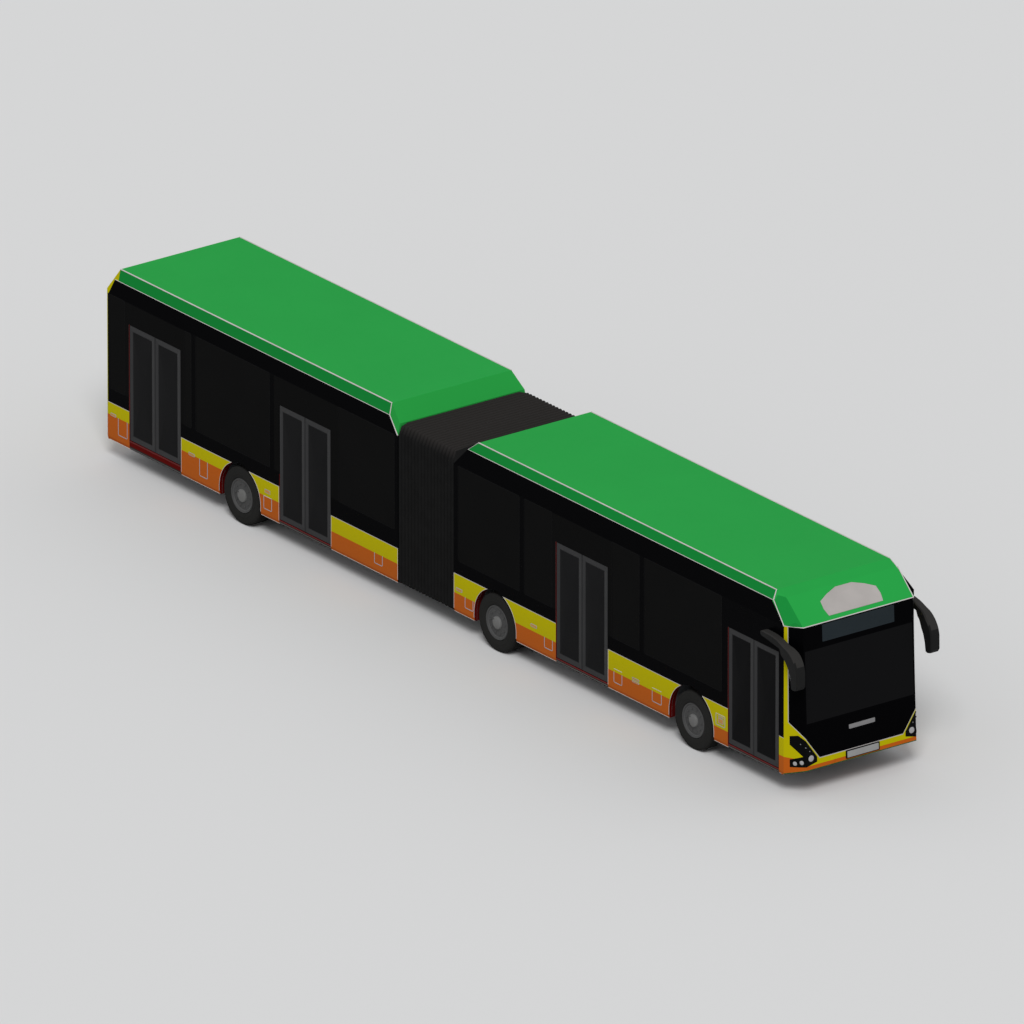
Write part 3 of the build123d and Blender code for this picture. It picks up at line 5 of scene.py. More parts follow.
import bmesh
import bpy
import numpy as np
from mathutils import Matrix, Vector

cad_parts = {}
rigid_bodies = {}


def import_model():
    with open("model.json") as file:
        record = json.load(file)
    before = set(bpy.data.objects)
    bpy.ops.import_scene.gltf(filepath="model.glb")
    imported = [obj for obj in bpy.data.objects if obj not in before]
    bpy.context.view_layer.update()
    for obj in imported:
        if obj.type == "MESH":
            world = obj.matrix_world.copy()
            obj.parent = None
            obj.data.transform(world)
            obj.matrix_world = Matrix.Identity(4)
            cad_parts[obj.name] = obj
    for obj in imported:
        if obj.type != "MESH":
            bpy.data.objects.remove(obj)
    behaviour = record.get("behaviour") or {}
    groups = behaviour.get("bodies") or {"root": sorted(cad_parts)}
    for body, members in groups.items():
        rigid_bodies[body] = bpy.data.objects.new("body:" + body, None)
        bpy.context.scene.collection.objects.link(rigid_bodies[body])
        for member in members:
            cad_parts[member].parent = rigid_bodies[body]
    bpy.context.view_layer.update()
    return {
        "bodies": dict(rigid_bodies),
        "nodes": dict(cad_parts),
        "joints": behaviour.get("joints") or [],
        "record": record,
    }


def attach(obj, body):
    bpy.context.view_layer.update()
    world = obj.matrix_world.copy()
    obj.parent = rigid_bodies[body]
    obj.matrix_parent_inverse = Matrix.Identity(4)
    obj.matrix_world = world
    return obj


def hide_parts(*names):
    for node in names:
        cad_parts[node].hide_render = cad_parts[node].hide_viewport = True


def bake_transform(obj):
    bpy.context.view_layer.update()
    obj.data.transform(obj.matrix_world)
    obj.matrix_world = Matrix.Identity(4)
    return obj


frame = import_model()
NODES = frame["nodes"]
SIDES = {"right": -1.0, "left": 1.0}
TURN = 2 * math.pi

# Body lines shared with the CAD frame.
HALF_WIDTH = 1.275
SILL_Z = 1.24
WINDOW_TOP_Z = 2.85
EAVES_Z = 2.86
ROOF_Z = 3.307
FRONT_ROOF_HALF, FRONT_CANT = 1.110, (1.207, 3.170)
REAR_ROOF_HALF, REAR_CANT = 1.180, (1.220, 3.110)
CANT_LEAN = 0.22
FRONT_CAR_END_X, REAR_CAR_END_X = 0.03, -1.45
HOOD_LENGTH, REAR_HOOD_X = 0.44, -1.73
TAIL_X, REAR_X = -9.18, -9.28
BROW = (8.24, 3.307)
VISOR_BREAK = (8.46, 3.24)
VISOR_LIP_X = 8.90
# Where the front roof's cant rails meet the visor, as (x, y, z).
CANT_END = (8.284, 1.200, 3.170)
AXLES = {"front": 6.26, "middle": 1.12, "rear": -5.66}
ARCH_R = {"front": 0.585, "middle": 0.555, "rear": 0.555}
TYRE_R, TYRE_WIDTH, TYRE_OUTER_Y, TWIN_PITCH = 0.4875, 0.275, 1.255, 0.310
# Just under the walls' outer skin and just inside their lining, as distances from the centre line.
OUTER_SKIN, LINING = 1.2735, 1.2165
# Tops of the skirt's tucked foot and of the pale line along its edge.
TUCK_TOP_Z, FOOT_LINE_TOP_Z = 0.4005, 0.358
DOORS = [
    # name, rear x, front x, sill z, top z
    ("door_1", 7.21, 8.53, 0.42, 2.39),
    ("door_2", 2.72, 4.08, 0.42, 2.39),
    ("door_3", -4.61, -3.23, 0.42, 2.39),
    ("door_4", -8.63, -7.24, 0.50, 2.49),
]
# Tail window as half width, foot and head.
TAIL_WINDOW, TAIL_LAMP_Y = (0.95, 1.75, 2.70), 1.085
FLAP_BODY, FLAP_SLATS = "rear_flap", (1.32, 1.28, 1.24, 1.20, 1.16)
WINDOWS = {
    ("front_car", "right"): [(0.15, 1.76), (1.89, 2.62), (4.18, 4.90), (5.03, 7.04)],
    ("front_car", "left"): [(0.15, 1.76), (1.89, 4.90), (5.03, 7.04), (7.17, 8.52)],
    ("rear_car", "right"): [(-9.16, -8.74), (-7.14, -6.96), (-6.84, -4.86), (-3.02, -1.54)],
    ("rear_car", "left"): [(-9.16, -6.96), (-6.84, -4.86), (-4.76, -3.12), (-3.02, -1.54)],
}


# Materials

def linear(hex_colour):
    """Linear RGBA of an sRGB hex colour."""
    values = np.array([int(hex_colour[i:i + 2], 16) / 255 for i in (0, 2, 4)])
    curve = np.where(values <= 0.04045, values / 12.92, ((values + 0.055) / 1.055) ** 2.4)
    return (*[float(v) for v in curve], 1.0)


def add_node(tree, kind, inputs=None, **settings):
    """Add one node with its settings; each input is a value or another node's output."""
    node = tree.nodes.new(kind)
    for key, value in settings.items():
        setattr(node, key, value)
    for socket, value in (inputs or {}).items():
        if isinstance(value, bpy.types.NodeSocket):
            tree.links.new(value, node.inputs[socket])
        else:
            node.inputs[socket].default_value = value
    return node


def region(tree, *limits):
    """1 where every (value, low, high) holds, 0 elsewhere; a low or high of None is open."""
    found = None
    for value, low, high in limits:
        for edge, operation in ((low, "GREATER_THAN"), (high, "LESS_THAN")):
            if edge is None:
                continue
            test = add_node(tree, "ShaderNodeMath", {0: value, 1: edge}, operation=operation).outputs[0]
            if found is not None:
                test = add_node(tree, "ShaderNodeMath", {0: found, 1: test}, operation="MULTIPLY").outputs[0]
            found = test
    return found


def layered(tree, colour, layers):
    """Paint each (mask, hex colour) over the colour before it."""
    for mask, over in layers:
        over = linear(over) if isinstance(over, str) else over
        colour = add_node(tree, "ShaderNodeMix", {0: mask, 6: colour, 7: over}, data_type="RGBA").outputs[2]
    return colour


def mottled(tree, colour, place, size, share, dark="000000"):
    """Let soft patches of about the given size, in metres, darken a colour by up to the given share."""
    noise = add_node(tree, "ShaderNodeTexNoise", {"Vector": place, "Scale": 1 / size, "Detail": 3.0})
    amount = add_node(tree, "ShaderNodeMapRange", {0: noise.outputs[0], 1: 0.35, 2: 0.75, 3: 0.0, 4: share})
    return layered(tree, colour, [(amount.outputs[0], dark)])


def new_material(name):
    """Empty node material with its shader; returns the tree, the shader and x, |y|, z and place outputs."""
    made = bpy.data.materials.new(name)
    made.use_nodes = True
    tree = made.node_tree
    shader = tree.nodes["Principled BSDF"]
    place = add_node(tree, "ShaderNodeTexCoord").outputs["Object"]
    split = add_node(tree, "ShaderNodeSeparateXYZ", {0: place})
    across = add_node(tree, "ShaderNodeMath", {0: split.outputs[1]}, operation="ABSOLUTE").outputs[0]
    return made, tree, shader, (split.outputs[0], across, split.outputs[2], place)


def surface(tree, shader, place, colour, rough, grain=0.0, height=0.0, spread=0.04, gloss=0.5, **sockets):
    """Link a colour, a roughness that wanders by spread, a bump of grain size and height, and the gloss."""
    if isinstance(colour, str):
        colour = mottled(tree, linear(colour), place, 0.35, 0.10)
    tree.links.new(colour, shader.inputs["Base Color"])
    wander = add_node(tree, "ShaderNodeTexNoise", {"Vector": place, "Scale": 7.0, "Detail": 4.0})
    band = {0: wander.outputs[0], 1: 0.3, 2: 0.7, 3: rough - spread, 4: rough + spread}
    tree.links.new(add_node(tree, "ShaderNodeMapRange", band).outputs[0], shader.inputs["Roughness"])
    if height:
        ripple = add_node(tree, "ShaderNodeTexNoise", {"Vector": place, "Scale": 1 / grain, "Detail": 2.0})
        bump = {"Height": ripple.outputs[0], "Distance": height, "Strength": 1.0}
        tree.links.new(add_node(tree, "ShaderNodeBump", bump).outputs[0], shader.inputs["Normal"])
    shader.inputs["Specular IOR Level"].default_value = gloss
    for socket, value in sockets.items():
        shader.inputs[socket].default_value = value


# The tuck orange is the skirt's orange darkened as painted shade on its tucked-under foot.
YELLOW, ORANGE, TUCK_SHADED_ORANGE, LACQUER = "ADA406", "AD5518", "9C4B16", "030304"
# The strip, slope and corner greens are the top's green darkened: painted shade on faces that lean away from
# the light.
GREEN_TOP, GREEN_STRIP_SHADED, GREEN_CORNER_SHADED, LIP_GREEN = "289C45", "157A33", "1B8539", "14512A"
GREEN_SLOPE_SHADED, GREEN_MOTTLE, SCREEN_TINT = "27933F", "0C4A20", "111112"
LINE_GREY, REVEAL_RED, LAMINATE, RUBBER = "A9A5A3", "530806", "8E9092", "0B0B0C"
FOOT_LINE, ROAD_DUST, HOOD_SHADE = "B08A70", "5A4A30", "1B1B1B"
UNDER_DOOR, FLUSH_GLASS = "252423", "0A0A0A"
# Spans of the right flank where tinted glass is bonded over the panels above and beside a door.
FLUSH_SPANS = [(-9.16, -6.96), (-4.74, -3.02), (1.89, 4.90)]
LACQUER_GLOSS = 0.01
# Farther out than this a surface belongs to a flank, and up to this height a door's reveal is red.
FLANK_Y, REVEAL_TOP_Z = 1.2, 1.2
# The skirt's tucked foot lies between these distances from the centre line.
TUCK_SKIN = (1.2625, 1.2755)
# Lining of the tail and of the mask: these faces and what lies further in.
TAIL_LINING_X, MASK_LINING_X, MASK_LINING_Y = -9.2215, 8.72, 1.2155
# Tail: the orange's top, and the black window surround as |y| and two heights.
TAIL_ORANGE_TOP_Z, TAIL_SURROUND = 0.785, (1.06, 1.58, 2.80)
# Front roof: x where the visor starts, lean of its rim, and |y| beyond which corner and hood cheeks begin.
VISOR_START_X, RIM_LEAN, ROOF_CORNER_Y, HOOD_CHEEK_Y = 8.30, 0.245, 1.085, 1.05
# Mask: x where it starts, and the foot of its lacquer: this high, then up by a gain from each (|y|, z).
MASK_START_X, LACQUER_FOOT_Z = 8.652, 0.65
LACQUER_FOOT = ((0.82, 0.65, 1.383), (1.055, 0.975, 1.557))
# The bumper's orange is lower within BUMPER_Y than beyond it; the lacquer ends at LACQUER_SIDE_Y.
BUMPER_Y, BUMPER_INNER_Z, BUMPER_OUTER_Z, LACQUER_SIDE_Y = 1.09, 0.55, 0.66, 1.238
# Green lip along the bumper's foot: it climbs by this much for each metre forward of LIP_START.
LIP_CLIMB, LIP_START, LIP_HEIGHT = 0.3125, (8.6, 0.35), 0.014
# Thin line up the mask's edge, between two |y| and from this height up.
SIDE_LINE, SIDE_LINE_FOOT_Z = (1.2335, 1.240), 1.26
# Rear roof: behind this x the moulding is yellow.
REAR_CAP_X = -8.985
# Front screen: it lies ahead of this x, and its printed bands are below and above these heights.
SCREEN_X, SCREEN_CLEAR = 8.70, (1.25, 2.45)
# The floor's wheel housings: beyond this |y| and below this height.
WHEEL_BOX_Y, WHEEL_BOX_TOP_Z = 1.12, 1.15
# Farther than any point of the bus, so that a limit there holds everywhere or nowhere.
BEYOND = 20.0
# The livery's ramp runs over x from minus this to plus this.
RAMP_HALF = 10.0

# Rows of the side livery: from this x forward, the orange's top and the yellow's top.
LIVERY_ROWS = [
    (-9.30, 0.785, 0.990), (-5.66, 0.710, 0.980), (-3.90, 0.672, 0.930),
    (-0.70, 0.675, 0.997), (6.50, 0.610, 0.997), (7.90, 0.662, 0.972),
]


def side_livery(tree, axes):
    """Colour of the flanks: orange skirt with painted shade on its tucked foot, yellow band with a thin line
    over it, black lacquer above.
    """
    x, _, z, _ = axes
    span = {0: x, 1: -RAMP_HALF, 2: RAMP_HALF, 3: 0.0, 4: 1.0}
    along = add_node(tree, "ShaderNodeMapRange", span).outputs[0]
    ramp = add_node(tree, "ShaderNodeValToRGB", {0: along})
    ramp.color_ramp.interpolation = "CONSTANT"
    stops = ramp.color_ramp.elements
    while len(stops) < len(LIVERY_ROWS):
        stops.new(0.5)
    for stop, (start, low, high) in zip(stops, LIVERY_ROWS):
        stop.position = (start + RAMP_HALF) / (2 * RAMP_HALF)
        stop.color = (low, high, 0.0, 1.0)
    tops = add_node(tree, "ShaderNodeSeparateColor", {0: ramp.outputs[0]})
    above_band = add_node(tree, "ShaderNodeMath", {0: z, 1: tops.outputs[1]}, operation="SUBTRACT").outputs[0]
    paint = layered(tree, linear(LACQUER), [
        (region(tree, (above_band, None, 0.0)), YELLOW),
        (region(tree, (z, None, tops.outputs[0])), ORANGE),
        (region(tree, (above_band, -0.001, 0.010)), LINE_GREY),
        # Painted shade: the tucked foot gets a darker orange.
        (region(tree, (z, None, TUCK_TOP_Z)), TUCK_SHADED_ORANGE),
        (region(tree, (z, None, FOOT_LINE_TOP_Z)), FOOT_LINE),
    ])
    dust = add_node(tree, "ShaderNodeMapRange", {0: z, 1: 0.95, 2: 0.30, 3: 0.0, 4: 0.16}).outputs[0]
    return layered(tree, paint, [(dust, ROAD_DUST)])


def body_material():
    """Two-pack enamel sprayed on panels: even, satin, a faint orange peel; grey laminate inside."""
    made, tree, shader, axes = new_material("sprayed_enamel_livery")
    x, across, z, place = axes
    above = add_node(tree, "ShaderNodeMath", {0: z, 1: -EAVES_Z}, operation="ADD").outputs[0]
    above = add_node(tree, "ShaderNodeMath", {0: above, 1: 0.0}, operation="MAXIMUM").outputs[0]
    upright = add_node(tree, "ShaderNodeMath", {0: above, 1: CANT_LEAN, 2: across},
                       operation="MULTIPLY_ADD").outputs[0]
    y = add_node(tree, "ShaderNodeSeparateXYZ", {0: place}).outputs[1]
    under_doors = [(region(tree, (x, rear_x, front_x), (y, None, -FLANK_Y), (z, None, sill_z)), UNDER_DOOR)
                   for _, rear_x, front_x, sill_z, _ in DOORS]
    pane_rows = ((y, None, -OUTER_SKIN), (z, SILL_Z, WINDOW_TOP_Z))
    flush = [(region(tree, (x, rear_x, front_x), *pane_rows), FLUSH_GLASS) for rear_x, front_x in FLUSH_SPANS]
    between_cars = (x, REAR_CAR_END_X - 0.012, FRONT_CAR_END_X + 0.012)
    paint = layered(tree, side_livery(tree, axes), [
        *flush,
        (region(tree, (across, None, OUTER_SKIN), (z, None, REVEAL_TOP_Z)), REVEAL_RED),
        # Painted shade: a darker orange on the tucked foot's faces.
        (region(tree, (across, *TUCK_SKIN), (z, None, TUCK_TOP_Z)), TUCK_SHADED_ORANGE),
        (region(tree, (across, *TUCK_SKIN), (z, None, FOOT_LINE_TOP_Z)), FOOT_LINE),
        *under_doors,
        (region(tree, (x, *DOORS[3][1:3]), (y, None, -FLANK_Y), (z, 0.405, DOORS[3][3])), REVEAL_RED),
        (region(tree, between_cars, (across, None, OUTER_SKIN)), RUBBER),
        (region(tree, (across, None, OUTER_SKIN), (z, REVEAL_TOP_Z, EAVES_Z - 0.001)), RUBBER),
        (region(tree, (upright, None, LINING)), LAMINATE),
    ])
    surface(tree, shader, place, paint, 0.30, 0.004, 0.00006, gloss=LACQUER_GLOSS)
    return made


def tail_material():
    """The same enamel on the tail: yellow over orange round a black window surround."""
    made, tree, shader, axes = new_material("sprayed_enamel_tail")
    x, across, z, place = axes
    rear = layered(tree, linear(YELLOW), [
        (region(tree, (z, None, TAIL_ORANGE_TOP_Z)), ORANGE),
        (region(tree, (across, None, TAIL_SURROUND[0]), (z, *TAIL_SURROUND[1:])), LACQUER),
    ])
    paint = layered(tree, side_livery(tree, axes), [
        (region(tree, (x, None, REAR_X + 0.0005)), rear),
        (region(tree, (across, None, OUTER_SKIN), (x, None, TAIL_X - 0.0005)), rear),
    ])
    inner = region(tree, (across, None, LINING), (x, TAIL_LINING_X, None))
    paint = layered(tree, paint, [(inner, LAMINATE)])
    surface(tree, shader, place, paint, 0.30, 0.004, 0.00006, gloss=LACQUER_GLOSS)
    return made


def roof_material(name, half, cant, hood_x, strip_end):
    """Gelcoat on moulded roof shells: flat green on top with a soft gloss; the darker greens on the edge
    strips, visor corners and rear slopes are painted shade.
    """
    made, tree, shader, (x, across, z, place) = new_material(name)
    lean = (cant[0] - half) / (ROOF_Z - cant[1])
    edge = add_node(tree, "ShaderNodeMath", {0: z, 1: -lean, 2: half + lean * ROOF_Z - 0.005},
                    operation="MULTIPLY_ADD").outputs[0]
    strip = region(tree, (across, edge, None), (z, cant[1] - 0.001, ROOF_Z - 0.0005), (x, None, strip_end))
    fall = HOOD_LENGTH / (ROOF_Z - EAVES_Z)
    slant = add_node(tree, "ShaderNodeMath", {0: z, 1: -fall, 2: x}, operation="MULTIPLY_ADD").outputs[0]
    ahead = FRONT_CAR_END_X - fall * EAVES_Z
    hood_side = (across, HOOD_CHEEK_Y, None)
    cheek = region(tree, hood_side, (x, 0.0, hood_x), (slant, None, ahead - 0.002))
    y = add_node(tree, "ShaderNodeSeparateXYZ", {0: place}).outputs[1]
    rim_foot = CANT_END[1] + CANT_END[2] * RIM_LEAN - 0.024
    rim_edge = add_node(tree, "ShaderNodeMath", {0: z, 1: -RIM_LEAN, 2: rim_foot},
                        operation="MULTIPLY_ADD").outputs[0]
    paint = mottled(tree, linear(GREEN_TOP), place, 1.4, 0.05, GREEN_MOTTLE)
    paint = layered(tree, paint, [
        # Painted shade: the sloped faces, the edge strips and the visor corners get darker greens.
        (region(tree, (z, None, ROOF_Z - 0.002), (x, None, -1.4)), GREEN_SLOPE_SHADED),
        (strip, GREEN_STRIP_SHADED),
        (region(tree, (x, VISOR_START_X, None), (across, ROOF_CORNER_Y, None), (z, None, VISOR_BREAK[1])),
         GREEN_CORNER_SHADED),
        (region(tree, (x, VISOR_START_X, None), (y, 1.10, None), (z, 2.861, VISOR_BREAK[1])), LACQUER),
        (region(tree, (x, 8.285, None), (y, rim_edge, None), (z, 2.861, 3.169)), YELLOW),
        (cheek, HOOD_SHADE),
        (region(tree, hood_side, (x, 0.0, hood_x), (z, None, cant[1] - 0.002)), HOOD_SHADE),
        (region(tree, (x, None, REAR_CAP_X), (z, None, ROOF_Z - 0.001)), YELLOW),
        (region(tree, (z, None, 2.8602)), LAMINATE),
    ])
    surface(tree, shader, place, paint, 0.34, 0.01, 0.00012, gloss=0.004)
    return made


def mask_material():
    """Enamel sprayed on the front mask: black lacquer down to slanted edges, a two-tone bumper below."""
    made, tree, shader, axes = new_material("sprayed_enamel_front_mask")
    x, across, z, place = axes
    slope = LACQUER_FOOT_Z
    for start, height, gain in LACQUER_FOOT:
        line = add_node(tree, "ShaderNodeMath", {0: across, 1: gain, 2: height - gain * start},
                        operation="MULTIPLY_ADD").outputs[0]
        slope = add_node(tree, "ShaderNodeMath", {0: line, 1: slope}, operation="MAXIMUM").outputs[0]
    over = add_node(tree, "ShaderNodeMath", {0: z, 1: slope}, operation="SUBTRACT").outputs[0]
    foot = add_node(tree, "ShaderNodeMath", {0: x, 1: -LIP_CLIMB, 2: z}, operation="MULTIPLY_ADD").outputs[0]
    lip_top = LIP_START[1] - LIP_CLIMB * LIP_START[0] + LIP_HEIGHT
    front = layered(tree, linear(YELLOW), [
        (region(tree, (z, None, BUMPER_INNER_Z), (across, None, BUMPER_Y)), ORANGE),
        (region(tree, (z, None, BUMPER_OUTER_Z), (across, BUMPER_Y, None)), ORANGE),
        (region(tree, (foot, None, lip_top)), LIP_GREEN),
        (region(tree, (over, 0.0, None), (across, None, LACQUER_SIDE_Y)), LACQUER),
        (region(tree, (over, -0.012, 0.002), (across, None, LACQUER_SIDE_Y)), LINE_GREY),
        (region(tree, (across, *SIDE_LINE), (z, SIDE_LINE_FOOT_Z, None)), LINE_GREY),
    ])
    paint = layered(tree, side_livery(tree, axes), [(region(tree, (x, MASK_START_X, None)), front)])
    inner = region(tree, (across, None, MASK_LINING_Y), (x, None, MASK_LINING_X))
    paint = layered(tree, paint, [(inner, LAMINATE)])
    surface(tree, shader, place, paint, 0.28, 0.004, 0.00006, gloss=LACQUER_GLOSS)
    return made


def plain_material(name, colour, rough, grain=0.0, height=0.0, spread=0.04, gloss=0.5, **sockets):
    """One-colour finish with its own grain."""
    made, tree, shader, (_, _, _, place) = new_material(name)
    surface(tree, shader, place, colour, rough, grain, height, spread, gloss, **sockets)
    return made


def bellows_material():
    """Rubber-coated woven polyester: dull charcoal, a fine cloth grain, and a paler top that is painted
    light.
    """
    made, tree, shader, (_, _, z, place) = new_material("coated_polyester_cloth")
    # Painted light: the top is painted paler than the sides, as if lit from above.
    top = add_node(tree, "ShaderNodeMapRange", {0: z, 1: 2.90, 2: 3.04, 3: 0.0, 4: 1.0}).outputs[0]
    paint = layered(tree, mottled(tree, linear("191919"), place, 0.2, 0.2), [(top, "2A2827")])
    # Thread spacing is under a millimetre; it is drawn at 6 mm so that it shows.
    surface(tree, shader, place, paint, 0.85, 0.006, 0.0006, gloss=0.02)
    return made


def deck_material():
    """Vinyl floor, rolled out with a fine fleck; the wheel housings under the flanks in dark red primer."""
    made, tree, shader, (_, across, z, place) = new_material("flecked_vinyl_floor")
    fleck = add_node(tree, "ShaderNodeTexNoise", {"Vector": place, "Scale": 160.0, "Detail": 2.0}).outputs[0]
    fleck = region(tree, (fleck, 0.60, None))
    paint = layered(tree, linear("4A4D50"), [
        (fleck, "74777A"),
        (region(tree, (across, WHEEL_BOX_Y, None), (z, None, WHEEL_BOX_TOP_Z)), REVEAL_RED),
    ])
    surface(tree, shader, place, paint, 0.6, 0.003, 0.0003, gloss=0.1)
    return made


def glass_material(name, colour):
    """Tinted laminated glass, floated flat: nearly black, a clean dim gloss, the screen's printed bands."""
    made, tree, shader, (x, _, z, place) = new_material(name)
    tint = layered(tree, mottled(tree, linear(colour), place, 0.8, 0.15), [
        (region(tree, (x, SCREEN_X, None)), SCREEN_TINT),
        (region(tree, (x, SCREEN_X, None), (z, SCREEN_CLEAR[1], None)), LACQUER),
        (region(tree, (x, SCREEN_X, None), (z, None, SCREEN_CLEAR[0])), LACQUER),
    ])
    surface(tree, shader, place, tint, 0.07, spread=0.02, gloss=0.012, IOR=1.5)
    return made


BODY = body_material()
TAIL = tail_material()
MASK = mask_material()
FRONT_ROOF = roof_material("gelcoat_front_roof", FRONT_ROOF_HALF, FRONT_CANT, 0.49, BEYOND)
REAR_ROOF = roof_material("gelcoat_rear_roof", REAR_ROOF_HALF, REAR_CANT, -BEYOND, REAR_HOOD_X)
CLOTH = bellows_material()
SIDE_GLASS = glass_material("tinted_side_glass", "0C0C0C")
DOOR_GLASS = glass_material("tinted_door_glass", "1A1A1B")
FIRST_DOOR_GLASS = glass_material("tinted_first_door_glass", "121213")
# Vulcanised rubber, moulded: dull, slightly grey with road dust.
TYRE_RUBBER = plain_material("vulcanised_tyre_rubber", "232322", 0.82, 0.003, 0.0004, gloss=0.04)
# EPDM rubber, extruded: dead black and smooth.
SEAL_RUBBER = plain_material("extruded_epdm_seal", "0A0A0B", 0.6, gloss=0.03)
# Steel, pressed and powder coated: even satin grey.
WHEEL_PAINT = plain_material("powder_coated_wheel_steel", "444444", 0.5, 0.002, 0.0001, gloss=0.1)
RIM_PAINT = plain_material("powder_coated_rim_steel", "545454", 0.45, 0.002, 0.0001, gloss=0.1)
# Aluminium, cast and painted: the hub's cap, a shade lighter.
HUB_PAINT = plain_material("cast_hub_cover_paint", "666665", 0.45, 0.002, 0.0002, gloss=0.12)
# Aluminium, extruded and dark anodised: satin charcoal door frames.
DOOR_FRAME = plain_material("anodised_door_aluminium", "303031", 0.45, 0.002, 0.00005, gloss=0.08)
# Aluminium, bare and brushed: sills and clamp frames.
BARE_ALLOY = plain_material("brushed_sill_aluminium", "8F8E8C", 0.4, 0.002, 0.0001, Metallic=0.6)
# Vinyl film, cut in thin stripes: flat pale grey.
STRIPE_FILM = plain_material("cut_vinyl_stripe", "C4C0BE", 0.5, gloss=0.2)
# ABS, moulded with a fine leather grain: nearly black; the mirrors' upper faces are painted paler, as painted
# light.
ABS_DARK = plain_material("grained_black_abs", "252423", 0.55, 0.004, 0.0003, gloss=0.06)
MIRROR_SHELL = plain_material("grained_mirror_shell_abs", "191919", 0.55, 0.004, 0.0003, gloss=0.06)
MIRROR_LIT_TOP = plain_material("mirror_top_abs_painted_light", "2E2D2C", 0.65, 0.004, 0.0003, gloss=0.06)
# Polypropylene, moulded in blue with a fine grain: satin seat shells.
SEAT_PLASTIC = plain_material("moulded_seat_plastic", "2E4A7A", 0.5, 0.003, 0.0002, gloss=0.3)
# Chassis steel, dipped in black primer: uneven and dusty.
CHASSIS = plain_material("primed_chassis_steel", "1C1B1A", 0.7, 0.01, 0.0008, gloss=0.1)
DECK = deck_material()
# Steel, turned and hot-dip galvanised: mid grey with a soft sheen.
GALVANISED = plain_material("galvanised_ring_steel", "5C5E60", 0.45, 0.02, 0.0002, Metallic=0.5)
# Polycarbonate, moulded: glossy lenses, clear over a pale reflector, red and amber; the small ones are
# greyer, as painted shade of their deep-set reflectors.
LENS_CLEAR = plain_material("polycarbonate_lamp_lens", "9C9B9C", 0.12, gloss=0.1)
LENS_SMALL_SHADED = plain_material("polycarbonate_small_lens_shaded", "747474", 0.12, gloss=0.1)
LENS_RED = plain_material("polycarbonate_red_lens", "A01210", 0.15, gloss=0.4)
LENS_AMBER = plain_material("polycarbonate_amber_lens", "B5843F", 0.2, gloss=0.2)
# ABS, moulded and polished: the lamps' black bezels.
LAMP_BLACK = plain_material("gloss_black_lamp_bezel", "050505", 0.15, gloss=0.05)
# Glass, silvered behind: a clear mirror.
MIRROR_GLASS = plain_material("silvered_mirror_glass", "B8BCBE", 0.04, spread=0.01, Metallic=1.0)
# Laminate, pressed: even pale grey, satin.
PANEL_GREY = plain_material("satin_grey_laminate", "A8A3A0", 0.45, 0.004, 0.0001, gloss=0.2)
# Acrylic, cast over a dark display: matt blue-black.
DISPLAY = plain_material("matt_display_panel", "22292D", 0.5, gloss=0.05)
# Aluminium sheet, pressed and painted: flat grey plates.
PLATE = plain_material("embossed_plate_aluminium", "8E8E8D", 0.4, gloss=0.1)
# ABS, moulded in mid grey: satin.
BAR_GREY = plain_material("moulded_grey_handle_abs", "7C7B7C", 0.45, gloss=0.1)
# Vinyl film, cut in thin lines: cool grey.
FLAP_LINE = plain_material("cut_grey_vinyl_line", "9AA0A8", 0.5, gloss=0.1)
# EPDM rubber, extruded for the doors' edges: charcoal, worn smooth.
DOOR_EDGE = plain_material("extruded_door_edge_rubber", "2C2C2D", 0.6, gloss=0.05)
# Aluminium, extruded and trodden dull: step nosings.
NOSING = plain_material("worn_nosing_alloy", "5A5856", 0.45, 0.002, 0.0001, gloss=0.1)
# Enamel, sprayed on single pieces: satin dark red on jambs and the livery's yellow.
JAMB_RED = plain_material("dark_red_jamb_enamel", "5A0806", 0.4, gloss=0.2)
YELLOW_PAINT = plain_material("sprayed_enamel_yellow", YELLOW, 0.3, gloss=LACQUER_GLOSS)
# Aluminium, extruded and left as it comes: grey with a soft sheen.
HOOP_ALLOY = plain_material("mill_finish_hoop_alloy", "77797A", 0.4, Metallic=0.6)

NODE_FINISHES = {
    BODY: ["front_side_right", "front_side_left", "rear_side_right", "rear_side_left"],
    TAIL: ["tail"],
    MASK: ["front_mask"],
    FRONT_ROOF: ["front_roof"],
    REAR_ROOF: ["rear_roof"],
    SIDE_GLASS: ["front_glazing", "rear_glazing"],
    LAMP_BLACK: ["headlamps"],
    LENS_RED: ["rear_lamps"],
    DECK: ["front_floor", "rear_floor"],
    CHASSIS: ["front_axle", "middle_axle", "rear_axle", "knuckle_right", "knuckle_left", "tie_rod"],
    GALVANISED: ["front_turntable", "rear_turntable"],
    HOOP_ALLOY: ["middle_hoop"],
    SEAT_PLASTIC: ["front_seats", "rear_seats"],
    ABS_DARK: ["dashboard", "drive_unit", "mirrors"],
    YELLOW_PAINT: ["rear_flap"],
    CLOTH: ["bellows"],
    WHEEL_PAINT: [f"{axle}_{side}_rim" for axle in AXLES for side in SIDES],
    TYRE_RUBBER: [f"{axle}_{side}_tyre" for axle in AXLES for side in SIDES],
    DOOR_FRAME: [f"{door[0]}_{end}_leaf" for door in DOORS for end in ("rear", "front")],
    BARE_ALLOY: [f"{door[0]}_{end}_gear" for door in DOORS for end in ("rear", "front")],
}
for finish, names in NODE_FINISHES.items():
    for name in names:
        NODES[name].data.materials.clear()
        NODES[name].data.materials.append(finish)


# Surfaces

